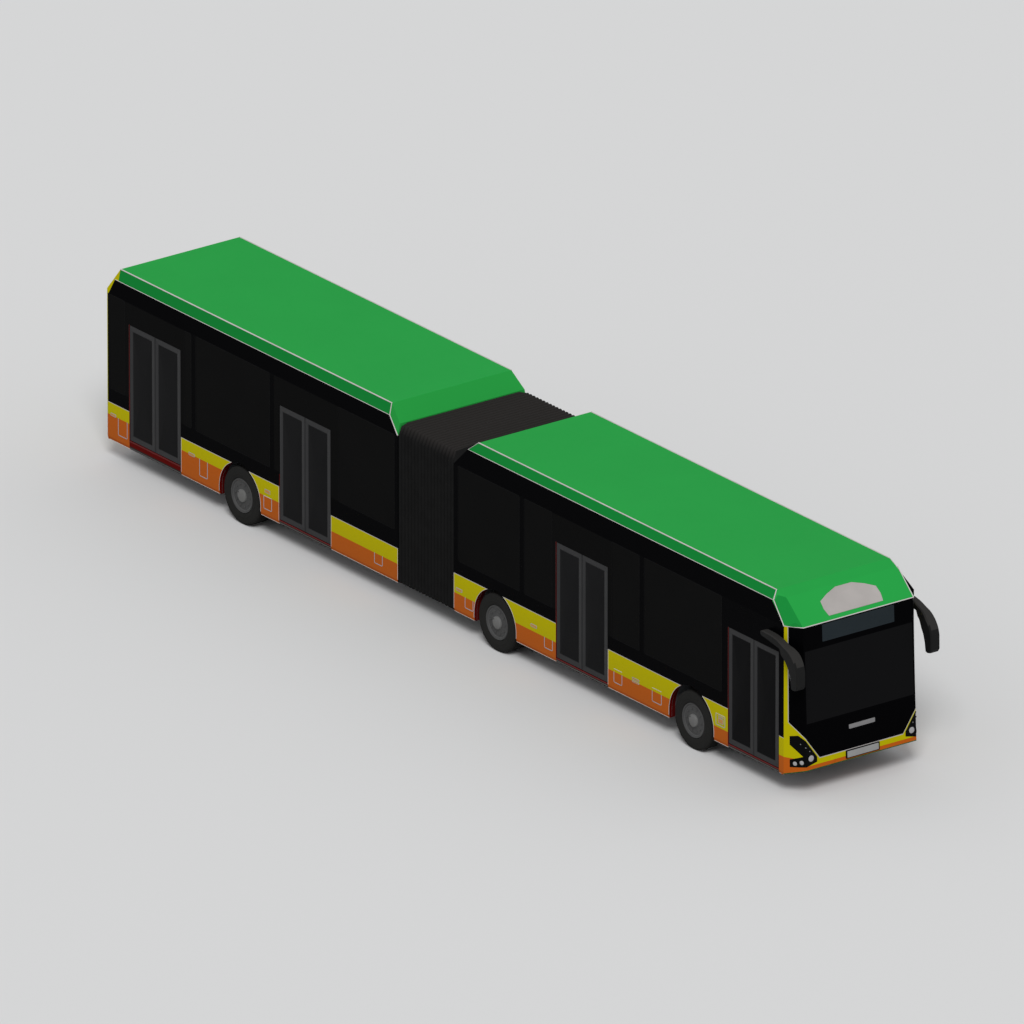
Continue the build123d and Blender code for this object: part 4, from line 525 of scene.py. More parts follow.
class Piece:
    """Gathers closed surfaces, each a stack of rings of points, into one mesh."""

    def __init__(self):
        self.points, self.faces, self.finish_of = [], [], []
        self.count = 0

    def add(self, rings, finish=0, joined=False):
        """Surface over rings (rows, points, 3): each row closes on itself; the rows join up or are capped."""
        rings = np.asarray(rings, float)
        rows, steps = rings.shape[:2]
        index = self.count + np.arange(rows * steps).reshape(rows, steps)
        after = np.roll(index, -1, axis=0) if joined else index[1:]
        base = index if joined else index[:-1]
        quads = np.stack([base, np.roll(base, -1, 1), np.roll(after, -1, 1), after], -1).reshape(-1, 4)
        faces = quads.tolist()
        if not joined:
            faces += [index[0][::-1].tolist(), index[-1].tolist()]
        self.points.append(rings.reshape(-1, 3))
        self.faces += faces
        self.finish_of += [finish] * len(faces)
        self.count += rows * steps

    def make(self, name, body, finishes, slot, crease=35.0):
        """Put the mesh into the scene: doubles merged, faces outward, edges sharp past the crease angle."""
        mesh = bpy.data.meshes.new(name)
        mesh.from_pydata(np.concatenate(self.points).tolist(), [], self.faces)
        mesh.polygons.foreach_set("material_index", np.array(self.finish_of, np.int32))
        for finish in finishes:
            mesh.materials.append(finish)
        work = bmesh.new()
        work.from_mesh(mesh)
        bmesh.ops.remove_doubles(work, verts=work.verts, dist=2e-6)
        bmesh.ops.dissolve_degenerate(work, edges=work.edges, dist=1e-7)
        bmesh.ops.recalc_face_normals(work, faces=work.faces)
        work.to_mesh(mesh)
        work.free()
        mesh.shade_smooth()
        mesh.set_sharp_from_angle(angle=math.radians(crease))
        made = bpy.data.objects.new(name, mesh)
        bpy.context.scene.collection.objects.link(made)
        if body:
            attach(made, body)
        return made


def circle(radius, steps):
    """Points (steps, 2) of a circle: radius times cosine and sine of even angles."""
    angle = np.arange(steps) * TURN / steps
    return np.stack([radius * np.cos(angle), radius * np.sin(angle)], -1)


def rounded(width, height, radius, per_corner=6):
    """Points of a rectangle with rounded corners: four quarter circles about its inner corners."""
    quarter = np.linspace(0, TURN / 4, per_corner)
    parts = []
    for turn, (sx, sy) in enumerate(((1, 1), (-1, 1), (-1, -1), (1, -1))):
        angle = quarter + turn * TURN / 4
        centre = np.array([sx * (width / 2 - radius), sy * (height / 2 - radius)])
        parts.append(centre + radius * np.stack([np.cos(angle), np.sin(angle)], -1))
    return np.concatenate(parts)


def sweep(path, section, up):
    """Carry a section (points, 2) along a path: across its direction and square to that, towards up."""
    path = np.asarray(path, float)
    ahead = np.gradient(path, axis=0)
    ahead /= np.linalg.norm(ahead, axis=1, keepdims=True)
    side = np.cross(ahead, np.asarray(up, float))
    side /= np.linalg.norm(side, axis=1, keepdims=True)
    over = np.cross(side, ahead)
    section = np.asarray(section, float)[None]
    return path[:, None] + section[..., :1] * side[:, None] + section[..., 1:] * over[:, None]


def bead(path, radius, steps=8):
    """Thin round bead along a path of points."""
    path = np.asarray(path, float)
    up = (0.0, 0.0, 1.0) if np.abs(np.diff(path[:, :2], axis=0)).sum() > 1e-3 else (0.0, 1.0, 0.0)
    return sweep(path, circle(radius, steps), up)


def dense(points, spacing=0.25):
    """Points put in along each straight run so that no step is longer than spacing."""
    points = np.asarray(points, float)
    parts = [points[:1]]
    for start, end in zip(points[:-1], points[1:]):
        count = max(1, int(np.ceil(np.linalg.norm(end - start) / spacing)))
        parts.append(start + (end - start) * (np.arange(1, count + 1) / count)[:, None])
    return np.concatenate(parts)


def lathe(profile, centre, side, steps):
    """Turn a closed profile of (radius, outward distance) about a wheel's axle, outward to the given side."""
    profile = np.asarray(profile, float)
    angle = np.arange(steps) * TURN / steps
    radius, out = profile[:, :1], profile[:, 1:]
    x = centre[0] + radius * np.cos(angle)
    z = centre[2] + radius * np.sin(angle)
    y = centre[1] + side * out + 0 * x
    return np.stack([x, y, z], -1)


def flat_rows(rows, place):
    """Rings for (outline, height) rows, put into space by place(across, up, height)."""
    return np.stack([place(outline[:, 0], outline[:, 1], height) for outline, height in rows])


def ring_rows(outer, inner, profile, place):
    """Frame between two outlines of as many points each: profile rows are (share towards inner, height)."""
    rows = [(outer * (1 - share) + inner * share, height) for share, height in profile]
    return flat_rows(rows, place)


def shifted(outline, across, up):
    """Move a flat outline."""
    return outline + np.array([across, up])


def panel(outline, centre, rows, place):
    """Closed panel about a centre, from rows of (share of the outline, height)."""
    return flat_rows([(shifted(outline * share, *centre), height) for share, height in rows], place)


def panel_rows(base, edge, share, top, crown=0.0):
    """Rows of a panel: flat base, straight edge, a chamfer in to this share at the top, a rise by crown."""
    return [(0.0, base), (1.0, base), (1.0, edge), (share, top), (0.0, top + crown)]


def on_side(side, face_y):
    """Places flat shapes on a flank: across is x, up is z, height stands outward from face_y."""
    def place(across, up, height):
        return np.stack([across, side * (face_y + height) + 0 * across, up], -1)
    return place


NOSE_LOW, NOSE_TOP = (0.35, 9.0), (2.86, 8.885)
NOSE_CORNER_X, NOSE_FLAT, NOSE_BULGE = 8.65, 1.08, 0.008


def on_nose(across, up, height):
    """Places shapes on the front, out by height: the raked plane and, past the crease, the bulged corner."""
    across, up = np.broadcast_arrays(np.asarray(across, float), np.asarray(up, float))
    share = (up - NOSE_LOW[0]) / (NOSE_TOP[0] - NOSE_LOW[0])
    front = NOSE_LOW[1] + share * (NOSE_TOP[1] - NOSE_LOW[1])
    y = np.abs(across)
    t = np.clip((HALF_WIDTH - y) / (HALF_WIDTH - NOSE_FLAT), 0, 1)
    run_x, run_y = front - NOSE_CORNER_X, HALF_WIDTH - NOSE_FLAT
    length = np.hypot(run_x, run_y)
    bulge = NOSE_BULGE * 4 * t * (1 - t)
    x = NOSE_CORNER_X + run_x * t + bulge * run_y / length
    y_out = np.where(y > NOSE_FLAT, y + bulge * run_x / length, y)
    corner = y > NOSE_FLAT
    normal_x = np.where(corner, run_y / length, 1.0)
    normal_y = np.where(corner, run_x / length, 0.0)
    return np.stack([x + height * normal_x, np.sign(across) * (y_out + height * normal_y), up], -1)


# Wheels: lathed tyres with four grooves and notched shoulders, and the covers over the rims

GROOVE_MIDDLES = (0.084, 0.119, 0.156, 0.191)
TREAD_R, GROOVE_R, GROOVE_TOP_HALF, GROOVE_FLOOR_HALF = 0.4872, 0.4745, 0.0075, 0.0045
# Notches: one step in five, in the rows outside this radius and beyond the tread's two edges.
NOTCH_DEPTH, NOTCH_PITCH, SHOULDER_R, NOTCH_START_R, TREAD_EDGES = 0.0075, 5, 0.48, 0.4715, (0.056, 0.219)
TYRE_STEPS, DISC_STEPS, CAP_STEPS = 210, 96, 72
COVER_INSET = 0.040
NUT_CIRCLE_R, NUTS = 0.1905, 10
VALVE_PLACE = (-0.063, 0.051)
# Profiles of (radius, distance outward from the cover's face).
COVER_DISC = [(0.0, -0.002), (0.112, -0.002), (0.240, -0.002), (0.2405, 0.003), (0.236, 0.0040),
              (0.170, 0.0005), (0.128, 0.0010), (0.120, 0.0060), (0.0, 0.0070)]
COVER_RING = [(0.2385, -0.002), (0.256, -0.002), (0.262, 0.004), (0.2585, 0.0075), (0.2420, 0.0065),
              (0.2385, 0.0035)]
HUB_CAP = [(0.0, 0.004), (0.108, 0.004), (0.106, 0.0230), (0.102, 0.0330), (0.094, 0.0385), (0.0, 0.0405)]
WHEEL_NUT = [(0.0, 0.0), (0.0165, 0.0), (0.0165, 0.010), (0.0135, 0.0150), (0.0, 0.0160)]
VALVE_CAP = [(0.0, 0.036), (0.0085, 0.036), (0.0075, 0.0425), (0.0, 0.0430)]


def tyre_profile():
    """Closed (radius, outward) section: inner bead, wall, shoulder, tread with grooves, and back."""
    wall = [(0.288, 0.030), (0.296, 0.014), (0.312, 0.008), (0.330, 0.0055), (0.348, 0.003),
            (0.352, 0.0005), (0.366, 0.0005), (0.370, 0.003), (0.392, 0.0015), (0.415, 0.0025),
            (0.434, 0.005), (0.437, 0.003), (0.447, 0.004), (0.450, 0.008), (0.462, 0.012),
            (0.472, 0.017), (0.480, 0.026), (0.4845, 0.038), (0.486, 0.050)]
    grooves = []
    for middle in GROOVE_MIDDLES:
        grooves += [(TREAD_R, middle - GROOVE_TOP_HALF), (GROOVE_R, middle - GROOVE_FLOOR_HALF),
                    (GROOVE_R, middle + GROOVE_FLOOR_HALF), (TREAD_R, middle + GROOVE_TOP_HALF)]
    mirrored = [(radius, TYRE_WIDTH - out) for radius, out in reversed(wall)]
    return np.array(wall + [(0.4868, 0.060)] + grooves + [(0.4868, 0.215)] + mirrored)


TYRE_SECTION = tyre_profile()


def notched(rings, profile, centre):
    """Sink the shoulder rows by 7.5 mm at every fifth step, so forty-two times round the tyre."""
    steps = rings.shape[1]
    sunk = (np.arange(steps) % NOTCH_PITCH == 0)[None, :]
    radius, out = profile[:, :1], profile[:, 1:]
    shoulder = (radius > NOTCH_START_R) & ((out < TREAD_EDGES[0]) | (out > TREAD_EDGES[1]))
    factor = 1 - NOTCH_DEPTH / SHOULDER_R * (sunk & shoulder)
    hub = np.array([centre[0], 0.0, centre[2]])
    flat = np.array([1.0, 0.0, 1.0])
    return rings * (1 - flat) + (hub + (rings * flat - hub) * factor[..., None]) * flat


def wheel_tyres(axle_x, side, inner_faces):
    """Tyres of one wheel: the section turned about the axle from each inner face."""
    tyres = Piece()
    for inner_y in inner_faces:
        centre = (axle_x, side * inner_y, TYRE_R)
        rings = lathe(TYRE_SECTION, centre, side, TYRE_STEPS)
        tyres.add(notched(rings, TYRE_SECTION, centre), 0, joined=True)
    return tyres


def wheel_cover(axle_x, side):
    """Disc and ring over the rim, the hub's cap, a circle of nuts and the valve's cap, each turned."""
    face_y = side * (TYRE_OUTER_Y - COVER_INSET)
    face = (axle_x, face_y, TYRE_R)
    cover = Piece()
    cover.add(lathe(COVER_DISC, face, side, DISC_STEPS), 0)
    cover.add(lathe(COVER_RING, face, side, DISC_STEPS), 1, joined=True)
    cover.add(lathe(HUB_CAP, face, side, CAP_STEPS), 2)
    for angle in np.arange(NUTS) * TURN / NUTS:
        nut = (axle_x + NUT_CIRCLE_R * math.cos(angle), face_y, TYRE_R + NUT_CIRCLE_R * math.sin(angle))
        cover.add(lathe(WHEEL_NUT, nut, side, 12), 0)
    cover.add(lathe(VALVE_CAP, (axle_x + VALVE_PLACE[0], face_y, TYRE_R + VALVE_PLACE[1]), side, 20), 3)
    return cover


for axle, axle_x in AXLES.items():
    for side_name, side in SIDES.items():
        wheel = f"{axle}_{side_name}"
        inner_faces = [TYRE_OUTER_Y - TYRE_WIDTH]
        if axle != "front":
            inner_faces.insert(0, TYRE_OUTER_Y - TYRE_WIDTH - TWIN_PITCH)
        tyres = wheel_tyres(axle_x, side, inner_faces)
        tyres = tyres.make(f"{wheel}_tread_tyre", f"{wheel}_wheel", [TYRE_RUBBER], "tyre", 28.0)
        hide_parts(f"{wheel}_tyre")
        finishes = [WHEEL_PAINT, RIM_PAINT, HUB_PAINT, SEAL_RUBBER]
        wheel_cover(axle_x, side).make(f"{wheel}_wheel_cover", f"{wheel}_wheel", finishes, "rim_grey")


# Doors: framed leaves, panes, meeting rubbers and grab rails

LEAF_FACE_Y = 1.267
JAMB_GAP, CENTRE_GAP, SILL_GAP, HEAD_GAP = 0.016, 0.004, 0.010, 0.008
# Frame's border as (both uprights, both rails) together.
BORDER = np.array([0.158, 0.170])
# Rows of (share from the outer to the inner outline, height).
FRAME_ROWS = [(0.0, -0.004), (0.0, 0.001), (0.03, 0.004), (0.93, 0.004), (1.0, 0.0015), (1.0, -0.004)]
GASKET_ROWS = [(0.0, -0.003), (0.0, 0.002), (0.4, 0.0035), (1.0, 0.0015), (1.0, -0.003)]
PANE_ROWS = panel_rows(-0.0035, 0.0005, 0.99, 0.0010, 0.0002)
# Grab rail as (y, z) from its lower foot to its upper one, for a sill at RAIL_SILL_Z.
GRAB_RAIL = [(-1.222, 0.95), (-1.196, 0.97), (-1.190, 1.00), (-1.190, 1.20), (-1.190, 1.45),
             (-1.196, 1.48), (-1.222, 1.50)]
RAIL_SILL_Z, RAIL_R = 0.42, 0.011


def door_leaf(edge_x, way, middle_x, sill_z, top_z):
    """Frame and pane of one leaf, from its jamb at edge_x the given way to the door's middle."""
    leaf_edges = sorted((edge_x + way * JAMB_GAP, middle_x - way * CENTRE_GAP))
    low_z, high_z = sill_z + SILL_GAP, top_z - HEAD_GAP
    size = np.array([leaf_edges[1] - leaf_edges[0], high_z - low_z])
    centre = (sum(leaf_edges) / 2, (low_z + high_z) / 2)
    place = on_side(-1.0, LEAF_FACE_Y)

    def outline(less, radius):
        """Rounded rectangle about the leaf's centre, less by this much each way."""
        return shifted(rounded(*(size - less), radius), *centre)

    frame = Piece()
    frame.add(ring_rows(outline(0.0, 0.004), outline(BORDER, 0.006), FRAME_ROWS, place), 0, joined=True)
    gasket = ring_rows(outline(BORDER + 0.002, 0.005), outline(BORDER + 0.016, 0.004), GASKET_ROWS, place)
    frame.add(gasket, 2, joined=True)
    meeting_x = middle_x - way * 0.0105
    rubber = [(meeting_x, -1.268, z) for z in np.linspace(low_z + 0.002, high_z - 0.002, 9)]
    frame.add(sweep(rubber, rounded(0.018, 0.012, 0.005, 4), (0.0, 1.0, 0.0)), 2)
    grab_x = edge_x + way * (size[0] - 0.070)
    rail = np.array([(grab_x, y, z) for y, z in GRAB_RAIL]) + np.array([0.0, 0.0, sill_z - RAIL_SILL_Z])
    frame.add(sweep(rail, circle(RAIL_R, 10), (1.0, 0.0, 0.0)), 1)
    pane = Piece()
    pane.add(panel(rounded(*(size - BORDER - 0.006), 0.005), centre, PANE_ROWS, place), 0)
    return frame, pane


for door, rear_x, front_x, sill_z, top_z in DOORS:
    middle_x = (rear_x + front_x) / 2
    tint = FIRST_DOOR_GLASS if door == "door_1" else DOOR_GLASS
    for end, edge_x, way in (("rear", rear_x, 1.0), ("front", front_x, -1.0)):
        leaf_frame, pane = door_leaf(edge_x, way, middle_x, sill_z, top_z)
        body = f"{door}_{end}_leaf"
        leaf_frame.make(f"{door}_{end}_frame", body, [DOOR_FRAME, YELLOW_PAINT, DOOR_EDGE], "door_frame")
        pane.make(f"{door}_{end}_pane", body, [tint], "glazing")


# Bellows: a pleated sheet round an open-bottomed section

PLEATS, PLEAT_DEPTH, BELLOWS_TOP_Z, BELLOWS_FOOT_Z = 17, 0.030, 3.05, 0.372
CLOTH_THICK, END_GAP, STEPS_PER_PLEAT = 0.004, 0.002, 12
# Corner of the cloth's section as (half width, z): drawn in under the hood at the rear end, full after that.
REAR_CORNER = np.array([(1.273, 2.880), (1.223, 3.000), (1.103, BELLOWS_TOP_Z)])
FULL_CORNER = np.array([(1.273, 2.896), (1.203, 3.046), (1.120, BELLOWS_TOP_Z)])
CORNER_RUN, FLAT_TOP_HALF = 0.09, 0.8
# Mean of the fold's depth over a pleat, as a share of its full depth.
MEAN_DEPTH_SHARE = 0.27


def bellows_ring(inset, share=1.0, steps=26):
    """Section moved in by inset, open below: up one wall, over the corners at this share of the run, down."""
    blend = min(1.0, share / CORNER_RUN)
    corner = REAR_CORNER + (FULL_CORNER - REAR_CORNER) * blend - np.array([inset, inset])
    right = np.stack([np.full(steps, corner[0, 0]), np.linspace(BELLOWS_FOOT_Z, corner[0, 1], steps)], -1)
    bend = np.stack([np.interp(np.linspace(0, 2, 9)[1:], range(3), corner[:, k]) for k in (0, 1)], -1)
    half_line = np.concatenate([right, bend])
    across = np.linspace(corner[2, 0], -corner[2, 0], steps)
    top = np.interp(np.abs(across), [0.0, FLAT_TOP_HALF, corner[2, 0]],
                    [BELLOWS_TOP_Z - inset, BELLOWS_TOP_Z - inset, corner[2, 1]])
    flip = np.array([-1.0, 1.0])
    return np.concatenate([half_line * flip, np.stack([-across, top], -1)[1:-1], half_line[::-1]])


def pleat_inset(share):
    """Depth of the fold: a raised cosine to the fourth power, so crests are broad and valleys narrow."""
    wave = 0.5 + 0.5 * np.cos(TURN * PLEATS * share)
    return PLEAT_DEPTH * wave ** 4


bellows_length = FRONT_CAR_END_X - REAR_CAR_END_X - 2 * END_GAP
shares = np.linspace(0, 1, PLEATS * STEPS_PER_PLEAT + 1)
cloth_rows = []
for share in shares:
    outer = bellows_ring(pleat_inset(share), share)
    inner = bellows_ring(pleat_inset(share) + CLOTH_THICK, share)
    loop = np.concatenate([outer, inner[::-1]])
    x = REAR_CAR_END_X + END_GAP + share * bellows_length
    cloth_rows.append(np.column_stack([np.full(len(loop), x), loop]))
cloth = Piece()
cloth.add(np.array(cloth_rows), 0)
bellows = cloth.make("pleated_bellows", None, [CLOTH], "bellows_cloth", 60.0)
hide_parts("bellows")
# The way round from foot to foot, at the pleats' mean depth; the run between the cars is bellows_length.
round_line = bellows_ring(PLEAT_DEPTH * MEAN_DEPTH_SHARE)
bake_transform(bellows)


# Stripes: beads along the roof edges, the cant rails, the hoods and the visor

TOP_BEAD, CANT_BEAD, VISOR_BEAD = 0.0105, 0.005, 0.0085
LIP_Z = EAVES_Z + 0.004
FRONT_HOOD_TOP = (0.47, FRONT_ROOF_HALF, ROOF_Z)
LIP_CORNER = (VISOR_LIP_X, 1.082, LIP_Z)


def mirrored_paths(points):
    """The same path on the right and on the left."""
    points = np.asarray(points, float)
    return [points * np.array([1.0, side, 1.0]) for side in SIDES.values()]


def roof_stripes(runs):
    """A bead on both sides along each (points, radius) run."""
    lines = Piece()
    for points, radius in runs:
        for path in mirrored_paths(points):
            lines.add(bead(dense(path), radius), 0)
    return lines


front_lines = roof_stripes([
    ([FRONT_HOOD_TOP, (BROW[0], FRONT_ROOF_HALF, BROW[1]), CANT_END], TOP_BEAD),
    ([FRONT_HOOD_TOP, (0.32, *FRONT_CANT), (8.27, *FRONT_CANT)], CANT_BEAD),
    ([CANT_END, (8.65, HALF_WIDTH, LIP_Z), LIP_CORNER, (VISOR_LIP_X, 0.0, LIP_Z)], VISOR_BEAD),
])
front_lines.add(bead(dense([(VISOR_BREAK[0], 1.102, 3.243), LIP_CORNER]), VISOR_BEAD), 0)
front_lines.make("front_roof_stripes", "front_car", [STRIPE_FILM], "trim_black")

rear_lines = roof_stripes([
    ([(-8.98, REAR_ROOF_HALF, ROOF_Z), (REAR_HOOD_X, REAR_ROOF_HALF, ROOF_Z), (REAR_HOOD_X, *REAR_CANT),
      (REAR_CAR_END_X, HALF_WIDTH, EAVES_Z + 0.002)], TOP_BEAD),
    ([(-9.08, *REAR_CANT), (REAR_HOOD_X, *REAR_CANT)], CANT_BEAD),
])
rear_lines.make("rear_roof_stripes", "rear_car", [STRIPE_FILM], "trim_black")


# Skirt details: flap outlines, side marker lamps, arch edges, door sills

# Flap outlines: rear x, front x, foot z, the legs' top z (the orange's top where None) and the head line's z.
FLAPS = [
    (-8.93, -8.69, 0.50, None, None), (-6.74, -6.53, 0.50, None, None), (-5.02, -4.81, 0.49, 0.707, 0.707),
    (-2.07, -1.86, 0.50, None, None), (0.33, 0.54, 0.50, None, None), (2.42, 2.63, 0.50, None, None),
    (4.24, 4.45, 0.50, None, 0.727), (5.24, 5.48, 0.50, None, 0.727), (6.90, 7.13, 0.65, 0.835, 0.835),
]
# Side marker lamps: centre x and z, width and height.
MARKERS = [
    (-9.06, 0.80, 0.14, 0.05), (-6.95, 0.79, 0.16, 0.05), (-4.92, 0.80, 0.14, 0.06),
    (0.174, 0.75, 0.16, 0.05), (2.14, 0.77, 0.16, 0.05), (4.81, 0.675, 0.18, 0.032),
    (4.81, 0.722, 0.18, 0.032), (7.025, 0.732, 0.13, 0.085), (7.025, 0.800, 0.13, 0.022),
]
FLAP_CORNER, FLAP_LIFT, EDGE_BEAD = 0.014, 0.0005, 0.0035
# Upright and arch beads start just over the skirt's tuck; the foot's bead lies on the tucked face.
TRIM_FOOT_Z, FOOT_BEAD = 0.405, (1.2635, 0.3525)
CAR_SPLIT_X, FRONT_SKIRT_END_X = -0.7, 8.64
# Door trim on the right flank: the sill strip's and the jamb strip's y, the nosing's (y, z), and sections.
SILL_Y, JAMB_Y, NOSE_EDGE = -1.2725, -1.274, (-1.266, 0.372)
SILL_STRIP, NOSE_STRIP = rounded(0.012, 0.020, 0.003, 3), rounded(0.014, 0.014, 0.004, 3)
JAMB_STRIP = rounded(0.010, 0.006, 0.002, 3)
MARKER_RIM = [(0.0, -0.002), (0.0, 0.004), (0.5, 0.006), (1.0, 0.005), (1.0, -0.002)]
MARKER_LENS = [(0.0, -0.001), (1.0, -0.001), (1.0, 0.004), (0.0, 0.008)]
SEAL_ROWS = [(0.0, -0.001), (0.05, 0.0012), (0.5, 0.002), (1.0, 0.0), (1.0, -0.0018), (0.5, -0.0018)]


def car_of(x):
    """Body that carries this x."""
    return "front_car" if x > CAR_SPLIT_X else "rear_car"


def livery_tops(x):
    """Tops of the orange and of the yellow at this x."""
    return next(row[1:] for row in reversed(LIVERY_ROWS) if x >= row[0])


def straight(start, end, section, up, spacing=0.25):
    """Section carried straight from start to end."""
    return sweep(dense([start, end], spacing), section, up)


def upright_line(x, side):
    """Thin upright bead on a flank, up to the yellow's top."""
    foot, head = (x, side * HALF_WIDTH, TRIM_FOOT_Z), (x, side * HALF_WIDTH, livery_tops(x)[1])
    return bead(dense([foot, head]), EDGE_BEAD)


def arch_edge(axle, way, side):
    """Bead up a leg and round the arch to the yellow's top, on the arch's front or rear half."""
    axle_x, radius, y = AXLES[axle], ARCH_R[axle], side * HALF_WIDTH
    top = livery_tops(axle_x + way * radius)[1]
    angle = np.linspace(0, math.asin(min(1.0, (top - TYRE_R) / radius)), 24)
    x, z = axle_x + way * radius * np.cos(angle), TYRE_R + radius * np.sin(angle)
    arc = np.stack([x, np.full(24, y), z], -1)
    leg = [(axle_x + way * radius, y, TRIM_FOOT_Z)]
    return sweep(np.concatenate([leg, arc]), circle(EDGE_BEAD, 8), (0.0, 1.0, 0.0))


def skirt_runs(car, side):
    """Runs of skirt between the car's ends, its arches and, on the right, its doors."""
    start, end = TAIL_X, REAR_CAR_END_X
    if car == "front_car":
        start, end = FRONT_CAR_END_X, FRONT_SKIRT_END_X
    gaps = [(AXLES[axle] - ARCH_R[axle], AXLES[axle] + ARCH_R[axle]) for axle in AXLES]
    gaps += [door[1:3] for door in DOORS] if side < 0 else []
    runs = []
    for low_x, high_x in sorted(gaps) + [(end, end)]:
        if start <= low_x <= end:
            runs.append((start, low_x))
            start = high_x
    return [run for run in runs if run[1] - run[0] > 0.05]


def flap_outlines(car):
    """Flat strips round each service flap: down a leg, along the foot, up, and over the head on some."""
    lines = Piece()
    leg_strip, head_strip = rounded(0.012, 0.004, 0.0015, 3), rounded(0.008, 0.004, 0.0015, 3)
    for side in SIDES.values():
        y, out = side * (HALF_WIDTH + FLAP_LIFT), (0.0, side, 0.0)
        for low_x, high_x, foot_z, leg_z, head_z in FLAPS:
            if car_of(low_x) != car:
                continue
            top, bend_z = leg_z or livery_tops(low_x)[0], foot_z + FLAP_CORNER
            path = [(low_x, y, top), (low_x, y, bend_z), (low_x + FLAP_CORNER, y, foot_z),
                    (high_x - FLAP_CORNER, y, foot_z), (high_x, y, bend_z), (high_x, y, top)]
            lines.add(sweep(dense(path, 0.1), leg_strip, out), 0)
            if head_z:
                lines.add(straight((low_x, y, head_z), (high_x, y, head_z), head_strip, out, 0.1), 1)
    return lines


def side_markers(car):
    """Small lamps on the flanks: a raised rim round a low pointed lens."""
    lamps = Piece()
    for side in SIDES.values():
        place = on_side(side, HALF_WIDTH)
        for x, z, wide, high in MARKERS:
            if car_of(x) != car:
                continue
            radius = min(0.010, high * 0.3)
            rim, lens = rounded(wide, high, radius), rounded(wide - 0.012, high - 0.012, radius * 0.6)
            ring = ring_rows(shifted(rim, x, z), shifted(lens, x, z), MARKER_RIM, place)
            lamps.add(ring, 0, joined=True)
            lamps.add(panel(lens, (x, z), MARKER_LENS, place), 1)
    return lamps


def add_door_trim(edges, door, rear_x, front_x, sill_z, top_z):
    """Red strip under a door's sill, its step's nosing, a red jamb strip or line behind, a line before."""
    up, out = (0.0, 0.0, 1.0), (0.0, 1.0, 0.0)
    strip_z = sill_z - 0.009
    edges.add(straight((rear_x, SILL_Y, strip_z), (front_x, SILL_Y, strip_z), SILL_STRIP, up), 1)
    edges.add(straight((rear_x + 0.01, *NOSE_EDGE), (front_x - 0.01, *NOSE_EDGE), NOSE_STRIP, up), 2)
    if door == "door_3":
        edges.add(upright_line(rear_x - 0.006, -1.0), 0)
    else:
        jamb_x = rear_x + 0.003
        edges.add(straight((jamb_x, JAMB_Y, sill_z), (jamb_x, JAMB_Y, top_z), JAMB_STRIP, out), 1)
    if door != "door_1":
        edges.add(upright_line(front_x + 0.006, -1.0), 0)


def skirt_trim(car):
    """Beads on the arches, at the car's end and along the skirt's foot, and the trim of its doors."""
    edges = Piece()
    end_x = FRONT_CAR_END_X + 0.006 if car == "front_car" else REAR_CAR_END_X - 0.006
    for side in SIDES.values():
        for axle, axle_x in AXLES.items():
            if car_of(axle_x) == car:
                for way in (-1.0, 1.0):
                    edges.add(arch_edge(axle, way, side), 0)
        edges.add(upright_line(end_x, side), 0)
        y, z = side * FOOT_BEAD[0], FOOT_BEAD[1]
        for low_x, high_x in skirt_runs(car, side):
            edges.add(bead(dense([(low_x + 0.004, y, z), (high_x - 0.004, y, z)]), EDGE_BEAD), 0)
    for door, rear_x, front_x, sill_z, top_z in DOORS:
        if car_of(rear_x) == car:
            add_door_trim(edges, door, rear_x, front_x, sill_z, top_z)
    return edges


def window_seals(car):
    """Rubber seals round one car's side windows, from 8 mm outside each opening's edge to 7 mm inside."""
    seals = Piece()
    for side_name, side in SIDES.items():
        for rear_x, front_x in WINDOWS[(car, side_name)]:
            centre = ((rear_x + front_x) / 2, (SILL_Z + WINDOW_TOP_Z) / 2)
            width, height = front_x - rear_x, WINDOW_TOP_Z - SILL_Z
            outer = shifted(rounded(width + 0.016, height + 0.016, 0.03), *centre)
            inner = shifted(rounded(width - 0.014, height - 0.014, 0.016), *centre)
            seals.add(ring_rows(outer, inner, SEAL_ROWS, on_side(side, HALF_WIDTH)), 0, joined=True)
    return seals


for car in ("front_car", "rear_car"):
    flap_outlines(car).make(f"{car}_flap_outlines", car, [FLAP_LINE, STRIPE_FILM], "body_paint")
    side_markers(car).make(f"{car}_side_markers", car, [FLAP_LINE, LENS_AMBER], "lamp_lens")
    skirt_trim(car).make(f"{car}_arch_and_sill_trim", car, [STRIPE_FILM, JAMB_RED, NOSING], "door_frame")
    window_seals(car).make(f"{car}_window_seals", car, [SEAL_RUBBER], "trim_black")


# Front: lamps, plate, display, bar, visor patch

# Lamps of each side: centre y and z, and radius; the small ones are below SMALL_LAMP_R.
LAMPS = [
    (0.989, 0.670, 0.052), (1.176, 0.579, 0.036), (1.119, 0.608, 0.036),
    (1.125, 0.916, 0.010), (1.083, 0.867, 0.010), (1.016, 0.795, 0.010),
]
SMALL_LAMP_R, CORNER_SQUEEZE = 0.02, 0.49
# Rows of (share of the radius, height); the dome is half an ellipse 10 mm high.
LAMP_RIM = [(0.0, 0.0), (1.15, 0.0), (1.15, 0.004), (1.04, 0.006), (1.0, 0.004), (0.0, 0.004)]
LAMP_DOME = [(0.0, 0.002)] + [(share, 0.0035 + 0.010 * math.sqrt(max(0.0, 1 - share * share)))
                              for share in (1.0, 0.95, 0.8, 0.6, 0.35, 0.0)]


